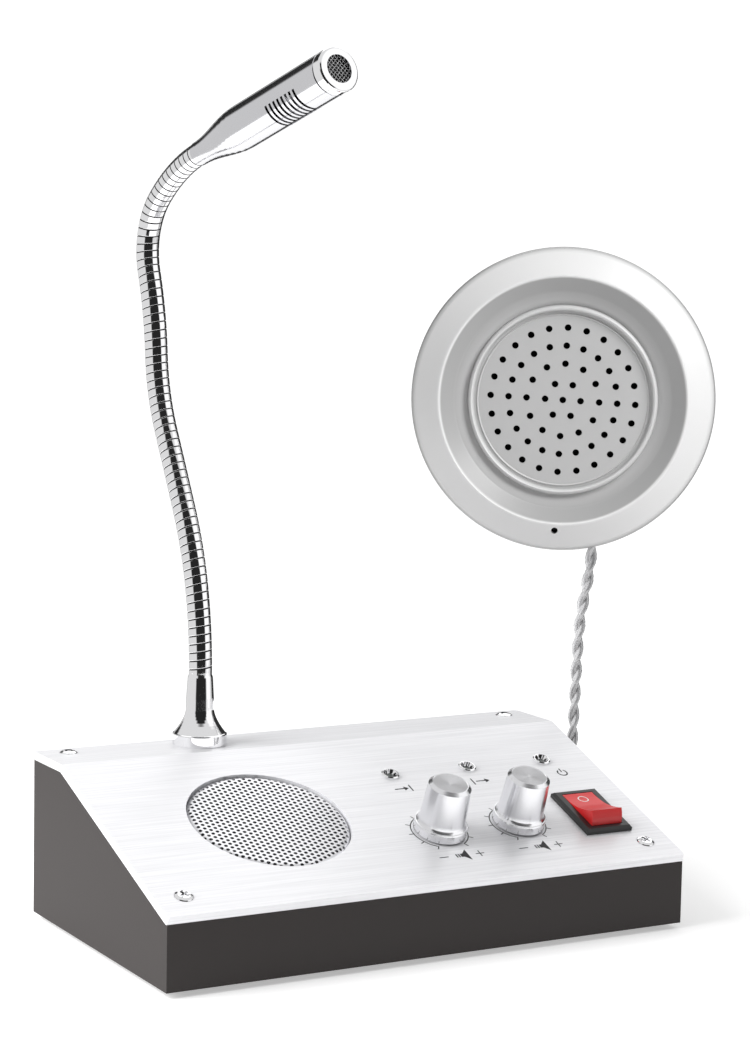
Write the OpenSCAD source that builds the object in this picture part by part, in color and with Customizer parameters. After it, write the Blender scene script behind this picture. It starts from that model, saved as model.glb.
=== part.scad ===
// Teller window intercom: a desk console with a gooseneck microphone, and the round
// customer speaker that sticks to the window. Millimetres. The origin is on the desk
// under the middle of the console, +X to the teller's right, -Y towards the teller, +Z up.

/* [Console] */
// Width of the console housing
console_w = 190; // [180:1:210]
// Depth of the console housing
console_d = 105.5; // [102:0.5:120]
// Height of the housing's rear wall
rear_h = 52; // [50:1:64]
// Height of the housing's front wall
front_h = 21.1; // [18:0.1:26]
// Depth of the flat strip behind the slope
strip_d = 23.4; // [22:0.1:28]
// Thickness of the housing walls
wall = 2.4; // [1.6:0.1:3]
// Thickness of the housing floor
floor_t = 2.4; // [1.6:0.1:4]
// Thickness of the folded top panel
panel_t = 2.6; // [1.5:0.1:3]
// How far the panel stands past the side walls
panel_overhang = 0.4; // [0:0.1:1]
// Radius of the panel's corners
panel_corner_r = 1.6; // [0.5:0.1:3]
// Distance of the front screws from the panel's lower edge, along the slope
front_screw_s = 9.9; // [8:0.1:11]
// Distance of the panel screws from the side walls
screw_inset = 9.4; // [8:0.1:11]
// Distance of the rear screws from the rear wall
rear_screw_inset = 6.8; // [6:0.1:8]
// Size of the square corner posts
post_size = 10; // [9:0.5:12]

/* [Feet] */
// Diameter of a rubber foot
foot_d = 12; // [8:0.5:16]
// Height of a rubber foot
foot_h = 2; // [1:0.1:5]
// Distance of the feet from the side walls
foot_inset_x = 24; // [20:1:32]
// Distance of the feet from the front and rear walls
foot_inset_y = 14; // [12:1:20]
// Diameter of a foot's pressed-in stem
foot_stem_d = 4; // [3:0.5:6]

/* [Console speaker] */
// Distance of the speaker's centre left of the middle
speaker_x = 39.6; // [36:0.1:44]
// Distance of the speaker's centre up the slope
speaker_s = 45.5; // [43:0.1:48]
// Diameter of the opening in the panel
speaker_hole_d = 54.4; // [46:0.2:56]
// Thickness of the perforated sheet
grille_t = 0.8; // [0.5:0.1:1.2]
// Radius of the grille's rounded shoulder
grille_shoulder_r = 2.2; // [1:0.1:3]
// How far the grille's face lies under the panel's surface
grille_recess = 0.3; // [0:0.1:1]
// Distance between neighbouring grille holes
grille_pitch = 2.9; // [2.6:0.1:4]
// Diameter of a grille hole
grille_hole_d = 1.6; // [0.8:0.1:1.8]
// Turn of the grille's rows of holes from the console's width
grille_turn = 25; // [0:5:60]
// Width of the driver's mounting rim
driver_rim_w = 4.2; // [3:0.1:6]
// Depth of the driver behind the panel
driver_depth = 21; // [17:0.5:23]
// Diameter of the driver's magnet
magnet_d = 32; // [20:1:36]

/* [Controls] */
// Distance of the left knob right of the middle
first_control_x = 15.1; // [13:0.1:17]
// Spacing of the control columns
control_pitch = 30.5; // [29:0.1:31]
// Distance of the knobs up the slope
knob_s = 28.6; // [26:0.1:32]
// Distance of the lamps up the slope
lamp_s = 63.8; // [60:0.1:66]
// Distance of the switch up the slope
switch_s = 29.1; // [28:0.1:32]

/* [Knobs and pots] */
// Diameter of a knob's skirt
knob_d = 18; // [17:0.2:22]
// Diameter of a knob's body above the skirt
knob_body_d = 15.4; // [14:0.1:16]
// Diameter of a knob at its top edge
knob_top_d = 14.3; // [12:0.1:15]
// Height of a knob
knob_h = 18; // [17:0.5:22]
// Gap between a knob and the panel
knob_gap = 0.5; // [0.3:0.1:1]
// Diameter of a volume pot's case
pot_d = 16.5; // [14:0.5:18]
// Depth of a volume pot's case
pot_depth = 8; // [6:0.5:10]
// Diameter of a pot's shaft
shaft_d = 6; // [5:0.5:6]
// Diameter of a pot's threaded bushing
bushing_d = 7; // [7:0.2:8]

/* [Lamps] */
// Diameter of a lamp bezel
bezel_d = 6.2; // [5.5:0.1:8]
// Diameter of a lamp
lamp_d = 3; // [2.4:0.1:3.2]
// Height of a lamp bezel above the panel
bezel_h = 0.9; // [0.5:0.1:1.5]

/* [Power switch] */
// Width of the switch bezel
switch_w = 18; // [17:0.5:20]
// Length of the switch bezel
switch_l = 24.5; // [24:0.5:28]
// Height of the switch bezel above the panel
switch_bezel_h = 2; // [1.5:0.1:2.5]
// Width of the rocker
rocker_w = 12; // [10:0.1:12.4]
// Half the length of the rocker
rocker_half_l = 9; // [8.5:0.1:9.5]
// Angle that the rocker leans to each side
rocker_lean = 15; // [8:1:16]
// Depth of the switch case behind the panel
switch_depth = 14; // [13:0.5:16]

/* [Gooseneck] */
// Distance of the gooseneck left of the middle
neck_x = 39.2; // [36:0.1:44]
// Distance of the gooseneck in front of the rear wall
neck_inset = 10.7; // [10:0.1:13]
// Diameter of the chrome foot
flange_d = 18.6; // [16:0.2:20]
// Height of the chrome foot
flange_h = 24.5; // [20:0.5:30]
// Diameter of the wound neck
neck_d = 8; // [7:0.1:8.4]
// Length of one of the neck's seven stretches
neck_stretch_l = 28; // [24:0.5:32]
// Turns of wire in one stretch
neck_beads = 10; // [8:1:12]
// Heading of the bent neck, turned from straight ahead towards +X
neck_yaw = 8; // [0:1:20]

/* [Microphone] */
// Diameter of the microphone tube
mic_d = 14.9; // [14:0.1:16]
// Length of the microphone body without its cap
mic_l = 76.8; // [70:0.2:90]
// Length of the cone at the neck
mic_cone_l = 27; // [20:0.5:32]
// Wall of the microphone tube
mic_wall = 1.1; // [0.8:0.1:1.4]
// Length of the end cap
mic_cap_l = 4.2; // [3:0.1:6]
// Diameter of the mesh window in the cap
mesh_d = 9.3; // [8:0.1:10]
// Number of slots under the microphone tube
mic_slots = 8; // [4:1:8]
// Spacing of the slots
mic_slot_pitch = 2.2; // [1.6:0.1:2.2]
// Width of a slot
mic_slot_w = 1.1; // [0.5:0.1:1.2]
// Angle that a slot spans around the tube
mic_slot_angle = 158; // [60:2:170]

/* [Window speaker] */
// Diameter of the window speaker
window_d = 110; // [104:1:130]
// Height of its front ring in front of its rear edge
window_h = 12.9; // [11:0.1:16]
// Diameter of the ring's inner crest
window_crest_d = 89; // [86:1:94]
// Diameter of the perforated insert
window_grille_d = 68.5; // [66:0.5:72]
// Wall of the window speaker's shells
window_wall = 2; // [1.5:0.1:2.5]
// Diameter of an insert hole
window_hole_d = 2.4; // [1.6:0.1:3]
// Depth of the rear pod behind its rear edge
window_pod_h = 10; // [9:0.5:16]
// Thickness of the adhesive pad
window_pad_t = 1; // [0.5:0.1:2]
// Height of the window speaker's centre above the desk
window_z = 172; // [160:1:200]
// Distance of the window speaker right of the middle
window_x = 107; // [100:1:130]
// Distance of the window speaker behind the middle
window_y = 45; // [40:1:70]
// Turn of the window speaker towards the customer's side view
window_yaw = 33.7; // [0:0.1:45]
// Roll of the window speaker on the window
window_roll = 2.6; // [0:0.2:8]

/* [Rear sockets] */
// Distance of the power jack from the right side wall's face
jack_inset = 19; // [18:1:24]
// Distance between the power jack and the speaker socket
socket_pitch = 25; // [16:1:30]
// Height of both sockets above the desk
socket_z = 24; // [22:0.5:30]

/* [Hidden] */
$fn = 64;
eps = 0.01;
big = 400;

// Clearances
fit_gap = 0.05;
slide_gap = 0.2;
seat_gap = 0.1;

// Console profile
rear_y = console_d / 2;
front_y = -console_d / 2;
bend_y = rear_y - strip_d;
base_z = foot_h;
floor_z = base_z + floor_t;
rear_z = base_z + rear_h;
front_z = base_z + front_h;
slope_angle = atan((rear_z - front_z) / (bend_y - front_y));
strip_z = rear_z + panel_t;
side_x = console_w / 2;
screw_x = side_x - screw_inset;
rear_screw_y = rear_y - rear_screw_inset;
speaker_r = speaker_hole_d / 2;
jack_clearance = 0.1;

// Panel screws
screw_d = 3;
screw_head_d = 6;
screw_head_rise = 0.9;
screw_sink = 1.5;
screw_l = 11;
screw_hole_l = 13;
cross_w = 0.9;
cross_l = 3.4;
cross_depth = 1.3;

// Console speaker stack, depths measured down from the panel's upper surface
grille_flange_w = 3.2;
gasket_t = 1;
rim_t = 1;
stud_r = 1.5;
stud_ring = speaker_r + driver_rim_w + 3.2;
stud_l = 7.4;
clamp_t = 1;
clamp_w = 7;
nut_h = 2;
grille_back = panel_t + grille_t;
rim_top = grille_back + gasket_t;
rim_back = rim_top + rim_t;
rim_r = speaker_r + driver_rim_w;
driver_back = panel_t + driver_depth;
magnet_t = 8;
cone_top_r = speaker_r - 4;

// Knobs and pots
pot_axis_x = [first_control_x, first_control_x + control_pitch];
pot_terminal_w = 2;
bushing_h = 3.2;
pot_nut_h = 2;
pot_nut_af = 10;
knob_cavity_h = 4.4;
knob_wall = 1.9;
shaft_top = knob_gap + knob_h - 4;
skirt_h = 2.7;
flare_h = 5.6;
knob_chamfer = 1.1;
knob_chamfer_h = 1;
shaft_tail = 5;

// Lamps
lamp_x = [for (i = [0:2]) first_control_x + control_pitch * i];
bezel_tube_d = bezel_d - 1.2;
bezel_tube_l = 7;
lamp_nut_af = 8;
lamp_lead_l = 6;

// Power switch
switch_shift = -0.75;
switch_x = first_control_x + control_pitch * 2 + switch_shift;
rocker_pivot_h = 0.5;
rocker_end_h = 3.92;
rocker_mid_h = 2.5;
rocker_dip = 0.3;
rocker_end_r = norm([rocker_half_l, rocker_end_h]);
rocker_end_a = atan(rocker_end_h / rocker_half_l);
trunnion_r = 1.2;
trunnion_l = 0.9;
case_w = rocker_w + 2 * slide_gap + 2.4;
case_l = 2 * (rocker_end_r + slide_gap) + 1.6;
cavity_depth = 7.5;
cutout_gap = 0.2;
bezel_chamfer = 0.8;
blade = [0.8, 4.8, 7];

// Control board
board_size = [64, 46, 1.6];
board_center = [26, 11];
board_z = floor_z + 5;
board_inset = 4;
board_boss_d = 6;
board_screw_d = 2.5;
chip_size = [16, 4.4, 12];
chip_at = [-12, 10];
sink_size = [24, 1.6, 14];
fin_count = 7;
fin_size = [1.4, 4.6, 14];

// Gooseneck
neck_turns = [-11, -13, -1, 21, -13, 63, 26];
neck_core_d = neck_d - 0.55;
bead_w = 0.82 * neck_stretch_l / neck_beads;
neck_gap = 0.1;
flange_rim_h = 4.1;
flange_waist_z = 12;
flange_waist_d = 9.6;
flange_tail_d = 8;
flange_tail_l = 10;
flange_bore_d = 4;
flange_nut_af = 12;
flange_nut_h = 3;

// Microphone
mic_capsule_d = 9.7;
mic_capsule_l = 6.5;
mesh_t = 0.7;
mesh_seat = 1.1;
mesh_pitch = 1.3;
mesh_hole = 0.8;
mic_slot_first = 11.5;
cap_round = 0.9;
mic_boot_l = 4;

// Window speaker
window_r = window_d / 2;
crest_r = window_crest_d / 2;
insert_r = window_grille_d / 2;
dish_floor_h = 7.6;
insert_face_h = 8.4;
insert_ring_h = 10.2;
insert_hole_rings = [[1, 0], [6, 6.4], [12, 13.1], [20, 19.6], [24, 26.1]];
back_t = 2;
pod_r = 44;
window_screw_ring = 48.6;
window_mic_ring = 47.2;
window_mic_angle = -89.5;
window_mic_d = 6;
cord_exit_x = 14.7;
cord_exit_depth = back_t + (window_pod_h - back_t) / 2;
exit_boss = window_pod_h - back_t;
exit_seat = pod_r - 1;
gland_l = 10;

// Rear sockets
jack_x = side_x - jack_inset;
socket_x = jack_x - socket_pitch;
socket_thread_d = 6;
socket_nut_h = 2;
socket_nut_af = 8;
socket_body = [9, 9, 10];
jack_nut_af = 11;
jack_thread_d = 8;
jack_bore_d = 5.5;
jack_pin_d = 2.1;
jack_pin_l = 8;
jack_body = [12, 12, 11];

// Speaker cord: clear twin cord, its route hand-placed, then a round coil behind the console
cord_d = 4.4;
cord_sides = 8;
hang_route = [
    [120.8, 43, 125.4], [120.7, 43.1, 121.4], [120.5, 43.2, 117.2], [120.1, 43.4, 111.5],
    [119.4, 43.8, 105], [118.4, 44.5, 98], [117.5, 45, 91], [117, 45.3, 83],
    [116.7, 45.5, 74], [116.6, 45.8, 65], [116.5, 46.1, 56], [116.5, 46.5, 47],
    [116.5, 47.1, 38], [116.5, 48.1, 29.5], [116.5, 49.9, 21.5], [116.4, 52.9, 14],
    [116.2, 57, 8.2], [115.8, 62.3, 4.5], [115, 69, 2.8], [113.9, 76.5, 2.4],
    [112.7, 84.5, 2.5], [111.5, 92.5, 2.7], [110.3, 100, 2.9], [109.4, 106.5, 2.9],
    [109, 113, 2.9]
];
plug_route = [
    [51, 113, 16.1], [51, 108, 16.4], [51, 103, 17.4], [51, 98, 19.3],
    [51, 93, 21.4], [51, 88, 23.1], [51, 83, 23.9], [51, 78.6, 24]
];
coil_center = [80, 113];
coil_mean_r = 22.4;
coil_columns = 4;
coil_layers = 4;
coil_lift = 0.7;
tie_t = 0.7;
tie_w = 9;
tie_angle = 260;
plug_d = 9;
plug_l = 14;
plug_relief_l = 9;
plug_pin_d = 3.5;
plug_pin_l = 11;

// ---- Places ----

module on_slope(x, s) {
    translate([x, front_y, front_z]) rotate([slope_angle, 0, 0]) translate([0, s, panel_t])
        children();
}

module on_strip(x, y) {
    translate([x, y, strip_z]) children();
}

module on_rear(x, z) {
    translate([x, rear_y, z]) rotate([-90, 0, 0]) children();
}

module on_window() {
    translate([window_x, window_y, window_z]) rotate([0, 0, -window_yaw]) rotate([90, 0, 0])
        rotate([0, 0, -window_roll]) children();
}

function neck_lean(i) = i == 0 ? 0 : neck_lean(i - 1) + neck_turns[i - 1];
function neck_bend_r(i) = neck_stretch_l * 180 / (PI * neck_turns[i]);
function neck_point(i, t) =
    let (
        start = i == 0 ? [0, flange_h] : neck_point(i - 1, 1),
        from = neck_lean(i),
        to = from + neck_turns[i] * t,
        r = neck_bend_r(i)
    )
    [start[0] + r * (cos(from) - cos(to)), start[1] + r * (sin(to) - sin(from))];

module at_neck(i, t) {
    point = neck_point(i, t);
    on_strip(-neck_x, rear_y - neck_inset) rotate([0, 0, neck_yaw])
        translate([0, -point[0], point[1]]) rotate([neck_lean(i) + neck_turns[i] * t, 0, 0])
            children();
}

module at_head() {
    at_neck(6, 1) children();
}

// ---- Shared shapes ----

module rounded_plate(w, d, r) {
    square([w - 2 * r, d], center = true);
    square([w, d - 2 * r], center = true);
    for (x = [-1, 1], y = [-1, 1]) translate([x * (w / 2 - r), y * (d / 2 - r)]) circle(r);
}

module hex_nut(af, h, hole_d) {
    difference() {
        cylinder(d = af / cos(30), h = h, $fn = 6);
        translate([0, 0, -eps]) cylinder(d = hole_d, h = h + 2 * eps);
    }
}

module across(w) {
    rotate([90, 0, 90]) linear_extrude(w, center = true) children();
}

module side_profile() {
    polygon([
        [front_y, base_z], [rear_y, base_z], [rear_y, rear_z], [bend_y, rear_z], [front_y, front_z]
    ]);
}

module panel_screw_places() {
    for (side = [-1, 1]) {
        on_slope(side * screw_x, front_screw_s) children();
        on_strip(side * screw_x, rear_screw_y) children();
    }
}

// ---- Console body ----

module housing() {
    color([0.24, 0.23, 0.22]) difference() {
        union() {
            difference() {
                across(console_w) side_profile();
                translate([0, 0, floor_z + big / 2])
                    cube([console_w - 2 * wall, console_d - 2 * wall, big], center = true);
            }
            intersection() {
                across(console_w - wall) side_profile();
                union() for (x = [-1, 1], y = [-1, 1])
                    translate([x * (side_x - wall / 2 - post_size / 2),
                               y * (rear_y - wall / 2 - post_size / 2), big / 2 + base_z])
                        cube([post_size, post_size, big], center = true);
            }
            board_places() translate([0, 0, floor_z - eps])
                cylinder(d = board_boss_d, h = board_z - floor_z + eps);
        }
        panel_screw_places() translate([0, 0, -panel_t - screw_hole_l])
            cylinder(d = screw_d + 2 * fit_gap, h = screw_hole_l + panel_t);
        board_places() translate([0, 0, floor_z + 1])
            cylinder(d = board_screw_d + 2 * fit_gap, h = board_z);
        foot_places() translate([0, 0, base_z - 1])
            cylinder(d = foot_stem_d + 2 * fit_gap, h = floor_t + 2);
        on_rear(jack_x, socket_z) translate([0, 0, -wall - 1])
            cylinder(d = jack_thread_d + 2 * jack_clearance, h = wall + 2);
        on_rear(socket_x, socket_z) translate([0, 0, -wall - 1])
            cylinder(d = socket_thread_d + 2 * jack_clearance, h = wall + 2);
    }
}

module foot_places() {
    for (x = [-1, 1], y = [-1, 1])
        translate([x * (side_x - foot_inset_x), y * (rear_y - foot_inset_y), 0]) children();
}

module rubber_feet() {
    color([0.08, 0.08, 0.08]) foot_places() {
        rotate_extrude() polygon([
            [0, 0], [foot_d / 2 - 0.5, 0], [foot_d / 2, 0.5], [foot_d / 2, foot_h],
            [foot_stem_d / 2, foot_h], [foot_stem_d / 2, floor_z + 1], [0, floor_z + 1]
        ]);
    }
}

module panel_profile() {
    bend_shift = panel_t * tan(slope_angle / 2);
    polygon([
        [rear_y, rear_z], [bend_y, rear_z], [front_y, front_z],
        [front_y - panel_t * sin(slope_angle), front_z + panel_t * cos(slope_angle)],
        [bend_y - bend_shift, strip_z], [rear_y, strip_z]
    ]);
}

module top_panel() {
    panel_w = console_w + 2 * panel_overhang;
    front_edge = front_y - panel_t * sin(slope_angle);
    color([0.86, 0.86, 0.87]) {
        difference() {
            intersection() {
                across(panel_w) panel_profile();
                translate([0, (front_edge + rear_y) / 2, 0]) linear_extrude(big)
                    rounded_plate(panel_w, rear_y - front_edge, panel_corner_r);
            }
            on_slope(-speaker_x, speaker_s) translate([0, 0, -panel_t - 1])
                cylinder(r = speaker_r, h = panel_t + 2);
            for (x = pot_axis_x) on_slope(x, knob_s) translate([0, 0, -panel_t - 1])
                cylinder(d = bushing_d + 2 * fit_gap, h = panel_t + 2);
            for (x = lamp_x) on_slope(x, lamp_s) translate([0, 0, -panel_t - 1])
                cylinder(d = bezel_tube_d + 2 * fit_gap, h = panel_t + 2);
            on_slope(switch_x, switch_s) translate([0, 0, -panel_t / 2])
                cube([case_w + 2 * cutout_gap, case_l + 2 * cutout_gap, panel_t + 2], center = true);
            on_strip(-neck_x, rear_y - neck_inset) translate([0, 0, -panel_t - 1])
                cylinder(d = flange_tail_d + 2 * fit_gap, h = panel_t + 2);
            panel_screw_places() {
                translate([0, 0, -panel_t - 1]) cylinder(d = screw_d + 0.4, h = panel_t + 2);
                translate([0, 0, -screw_sink - fit_gap]) rotate_extrude() polygon([
                    [0, 0], [screw_d / 2 + 0.2, 0],
                    [screw_head_d / 2 + 2 * fit_gap, screw_sink + fit_gap],
                    [screw_head_d / 2 + 2 * fit_gap, screw_sink + 1], [0, screw_sink + 1]
                ]);
            }
        }
        stud_places() translate([0, 0, -stud_l - panel_t]) cylinder(r = stud_r, h = stud_l + 0.5);
    }
}

module panel_screws() {
    color([0.8, 0.8, 0.82]) panel_screw_places() difference() {
        rotate_extrude() polygon([
            [0, -screw_l], [screw_d / 2 - 0.4, -screw_l], [screw_d / 2, -screw_l + 0.6],
            [screw_d / 2, -screw_sink], [screw_head_d / 2, 0], [screw_head_d / 2 - 0.15, 0.25],
            [screw_head_d / 2 - 0.9, screw_head_rise - 0.2], [1.2, screw_head_rise],
            [0, screw_head_rise]
        ]);
        for (a = [0, 90]) rotate([0, 0, a + 30])
            translate([0, 0, screw_head_rise + 1 - cross_depth / 2])
                cube([cross_l, cross_w, cross_depth + 2], center = true);
    }
}

// ---- Console speaker ----

module at_speaker() {
    on_slope(-speaker_x, speaker_s) children();
}

module stud_places() {
    at_speaker() for (a = [45:90:315]) rotate([0, 0, a]) translate([stud_ring, 0, 0]) children();
}

module speaker_grille() {
    outer_r = speaker_r - seat_gap;
    face_r = outer_r - grille_shoulder_r;
    top = -grille_recess;
    steps = [0:15:90];
    color([0.75, 0.75, 0.77]) at_speaker() difference() {
        rotate_extrude() polygon(concat(
            [[0, top]],
            [for (a = steps) [
                face_r + grille_shoulder_r * sin(a), top - grille_shoulder_r * (1 - cos(a))]],
            [[outer_r, -panel_t], [outer_r + grille_flange_w, -panel_t],
             [outer_r + grille_flange_w, -grille_back], [outer_r - grille_t, -grille_back]],
            [for (a = [90:-15:0]) [
                face_r + (grille_shoulder_r - grille_t) * sin(a),
                top - grille_t - (grille_shoulder_r - grille_t) * (1 - cos(a))]],
            [[0, top - grille_t]]
        ));
        row_h = grille_pitch * sin(60);
        rows = ceil(face_r / row_h);
        for (j = [-rows:rows], i = [-rows:rows]) {
            x = (i + (j % 2 == 0 ? 0 : 0.5)) * grille_pitch;
            y = j * row_h;
            if (norm([x, y]) < face_r - grille_hole_d / 2)
                rotate([0, 0, grille_turn]) translate([x, y, top - 2])
                    cylinder(d = grille_hole_d, h = 3, $fn = 16);
        }
    }
}

module grille_gasket() {
    color([0.1, 0.1, 0.1]) at_speaker() translate([0, 0, -rim_top]) difference() {
        cylinder(r = speaker_r + grille_flange_w - seat_gap, h = gasket_t);
        translate([0, 0, -eps]) cylinder(r = speaker_r - 1, h = gasket_t + 2 * eps);
    }
}

module speaker_basket() {
    back_r = magnet_d / 2 - 1;
    color([0.3, 0.3, 0.32]) at_speaker() difference() {
        rotate_extrude() polygon([
            [cone_top_r + 1, -rim_top], [rim_r, -rim_top], [rim_r, -rim_back],
            [speaker_r - 0.5, -rim_back], [back_r, -(driver_back - magnet_t)],
            [7, -(driver_back - magnet_t)], [7, -(driver_back - magnet_t - 1)],
            [back_r - 1, -(driver_back - magnet_t - 1)], [cone_top_r + 1, -rim_back]
        ]);
        for (a = [0:60:300]) rotate([0, 0, a])
            translate([(speaker_r + back_r) / 2, 0, -(rim_back + driver_back - magnet_t) / 2])
                cube([12, 9, driver_back - magnet_t - rim_back - 4], center = true);
    }
}

module speaker_magnet() {
    color([0.2, 0.2, 0.2]) at_speaker() translate([0, 0, -driver_back]) rotate_extrude() polygon([
        [0, 0], [magnet_d / 2 - 1, 0], [magnet_d / 2, 1], [magnet_d / 2, magnet_t - 1.5],
        [magnet_d / 2 - 1.5, magnet_t], [7, magnet_t], [7, magnet_t - 3], [5.5, magnet_t - 3],
        [5.5, magnet_t + 1], [0, magnet_t + 1]
    ]);
}

module speaker_cone() {
    coil_r = 6.2;
    throat = driver_back - magnet_t - 1.6;
    color([0.12, 0.12, 0.13]) at_speaker() rotate_extrude() polygon([
        [0, -(throat - 3.6)], [coil_r * 0.6, -(throat - 3.2)], [coil_r, -(throat - 1.8)],
        [cone_top_r - 2, -rim_top - 0.6], [cone_top_r - 1, -rim_top + 0.3], [cone_top_r, -rim_top],
        [cone_top_r + 0.9, -rim_top], [cone_top_r + 0.9, -rim_top - 0.8],
        [cone_top_r - 1, -rim_top - 1], [coil_r, -(throat - 1)], [coil_r, -throat],
        [coil_r - 0.5, -throat], [coil_r - 0.5, -(throat - 1.6)], [0, -(throat - 2.9)]
    ]);
}

module speaker_clamps() {
    foot_gap = rim_back - panel_t;
    color([0.7, 0.7, 0.72]) stud_places() difference() {
        union() {
            translate([-5.4, -clamp_w / 2, -rim_back - clamp_t]) cube([8.6, clamp_w, clamp_t]);
            translate([2.2, -clamp_w / 2, -rim_back - eps]) cube([1, clamp_w, foot_gap + eps]);
        }
        translate([0, 0, -rim_back - clamp_t - 1]) cylinder(r = stud_r + fit_gap, h = clamp_t + 2);
    }
}

module speaker_nuts() {
    color([0.75, 0.75, 0.76]) stud_places() translate([0, 0, -rim_back - clamp_t - nut_h])
        hex_nut(5.5, nut_h, 2 * (stud_r + fit_gap));
}

// ---- Volume controls ----

module pot(x) {
    top = -panel_t;
    color([0.35, 0.36, 0.38]) on_slope(x, knob_s) difference() {
        union() {
            translate([0, 0, top - pot_depth]) cylinder(d = pot_d, h = pot_depth);
            translate([0, 0, top - eps]) cylinder(d = bushing_d, h = -top + bushing_h);
            translate([-pot_d / 2 + 1, pot_d / 2 - 3, top - pot_depth + 1])
                cube([pot_d - 2, 6, 1.4]);
            for (k = [-1:1]) translate([k * 5 - pot_terminal_w / 2, pot_d / 2 + 2, top - pot_depth - 3])
                cube([pot_terminal_w, 0.8, 5]);
        }
        translate([0, 0, top - shaft_tail - fit_gap])
            cylinder(d = shaft_d + 2 * fit_gap, h = big);
    }
}

module pot_nut(x) {
    color([0.72, 0.72, 0.74]) on_slope(x, knob_s) hex_nut(pot_nut_af, pot_nut_h, bushing_d + 2 * fit_gap);
}

module pot_shaft(x) {
    color([0.7, 0.7, 0.72]) on_slope(x, knob_s) translate([0, 0, -panel_t - shaft_tail])
        cylinder(d = shaft_d, h = panel_t + shaft_tail + shaft_top);
}

module knob(x) {
    skirt_r = knob_d / 2;
    body_r = knob_body_d / 2;
    top_r = knob_top_d / 2;
    edge_h = knob_h - knob_chamfer_h;
    flare = [0:15:75];
    color([0.85, 0.85, 0.86]) on_slope(x, knob_s) translate([0, 0, knob_gap]) difference() {
        rotate_extrude() polygon(concat(
            [[0, 0], [skirt_r - 0.2, 0], [skirt_r, 0.2], [skirt_r, skirt_h]],
            [for (a = flare) [
                body_r + (skirt_r - body_r) * (1 - sin(a + 7)),
                flare_h - (flare_h - skirt_h - 0.4) * cos(a + 7)]],
            [[body_r, flare_h], [top_r, edge_h], [top_r - knob_chamfer, knob_h],
             [top_r - knob_chamfer - 0.3, knob_h - 0.15], [0, knob_h - 0.5]]
        ));
        translate([0, 0, -eps]) cylinder(d = knob_body_d - 2 * knob_wall + 1.6, h = knob_cavity_h);
        cylinder(d = shaft_d + 2 * 0.01, h = shaft_top - knob_gap + seat_gap);
    }
}

// ---- Indicator lamps ----

module led_bezels() {
    color([0.85, 0.85, 0.86]) for (x = lamp_x) on_slope(x, lamp_s) rotate_extrude() polygon([
        [lamp_d / 2 + 0.1, -bezel_tube_l], [bezel_tube_d / 2, -bezel_tube_l], [bezel_tube_d / 2, 0],
        [bezel_d / 2, 0], [bezel_d / 2, bezel_h - 0.3], [bezel_d / 2 - 0.3, bezel_h],
        [bezel_d / 2 - 0.6, bezel_h], [lamp_d / 2 + 0.1, -1.2]
    ]);
}

module led_lamps() {
    r = lamp_d / 2;
    color([0.9, 0.9, 0.85]) for (x = lamp_x) on_slope(x, lamp_s) {
        rotate_extrude() polygon(concat(
            [[0, -bezel_tube_l - 1], [r + 0.25, -bezel_tube_l - 1], [r + 0.25, -bezel_tube_l - 0.1],
             [r, -bezel_tube_l - 0.1]],
            [for (a = [0:15:90]) [r * cos(a), -1.4 + r * sin(a)]]
        ));
        for (side = [-1, 1]) translate([side * 0.9, 0, -bezel_tube_l - 1 - lamp_lead_l])
            cylinder(r = 0.25, h = lamp_lead_l + eps);
    }
}

module led_nuts() {
    color([0.75, 0.75, 0.76]) for (x = lamp_x) on_slope(x, lamp_s) translate([0, 0, -panel_t - 2])
        hex_nut(lamp_nut_af, 2, bezel_tube_d + 2 * fit_gap);
}

// ---- Power switch ----

module at_switch() {
    on_slope(switch_x, switch_s) children();
}

module bezel_side(l) {
    polygon([
        [-l / 2, 0], [l / 2, 0], [l / 2, switch_bezel_h - bezel_chamfer],
        [l / 2 - bezel_chamfer, switch_bezel_h], [-l / 2 + bezel_chamfer, switch_bezel_h],
        [-l / 2, switch_bezel_h - bezel_chamfer]
    ]);
}

module switch_housing() {
    cavity_w = rocker_w + 2 * slide_gap;
    cavity_l = 2 * (rocker_end_r + slide_gap);
    color([0.06, 0.06, 0.06]) at_switch() difference() {
        union() {
            intersection() {
                rotate([90, 0, 90]) linear_extrude(switch_w + 1, center = true) bezel_side(switch_l);
                rotate([90, 0, 0]) linear_extrude(switch_l + 1, center = true) bezel_side(switch_w);
            }
            translate([0, 0, -switch_depth / 2 + eps])
                cube([case_w, case_l, switch_depth + 2 * eps], center = true);
        }
        translate([0, 0, -cavity_depth + big / 2]) cube([cavity_w, cavity_l, big], center = true);
        translate([0, 0, rocker_pivot_h]) rotate([0, 90, 0])
            cylinder(r = trunnion_r + fit_gap, h = cavity_w + 2 * (trunnion_l + 0.1), center = true);
    }
}

module rocker_profile() {
    arc = [for (a = [rocker_end_a:-8:-28]) rocker_end_r * [cos(a), sin(a)]];
    rise = rocker_end_h - rocker_mid_h;
    face = [for (k = [1:5]) let (t = k / 6) [
        -rocker_half_l + t * rocker_half_l,
        rocker_end_h - rise * t - rocker_dip * 4 * t * (1 - t)]];
    polygon(concat(
        [for (p = face) p], [[0, rocker_mid_h]],
        [for (k = [4:-1:0]) [-face[k][0], face[k][1]]],
        arc,
        [for (k = [len(arc) - 1:-1:0]) [-arc[k][0], arc[k][1]]]
    ));
}

module switch_rocker() {
    color([0.78, 0.12, 0.1]) at_switch() translate([0, 0, rocker_pivot_h])
        rotate([-rocker_lean, 0, 0]) {
            rotate([90, 0, 90]) linear_extrude(rocker_w, center = true) rocker_profile();
            rotate([0, 90, 0])
                cylinder(r = trunnion_r, h = rocker_w + 2 * (slide_gap + trunnion_l - 0.1), center = true);
        }
}

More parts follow.
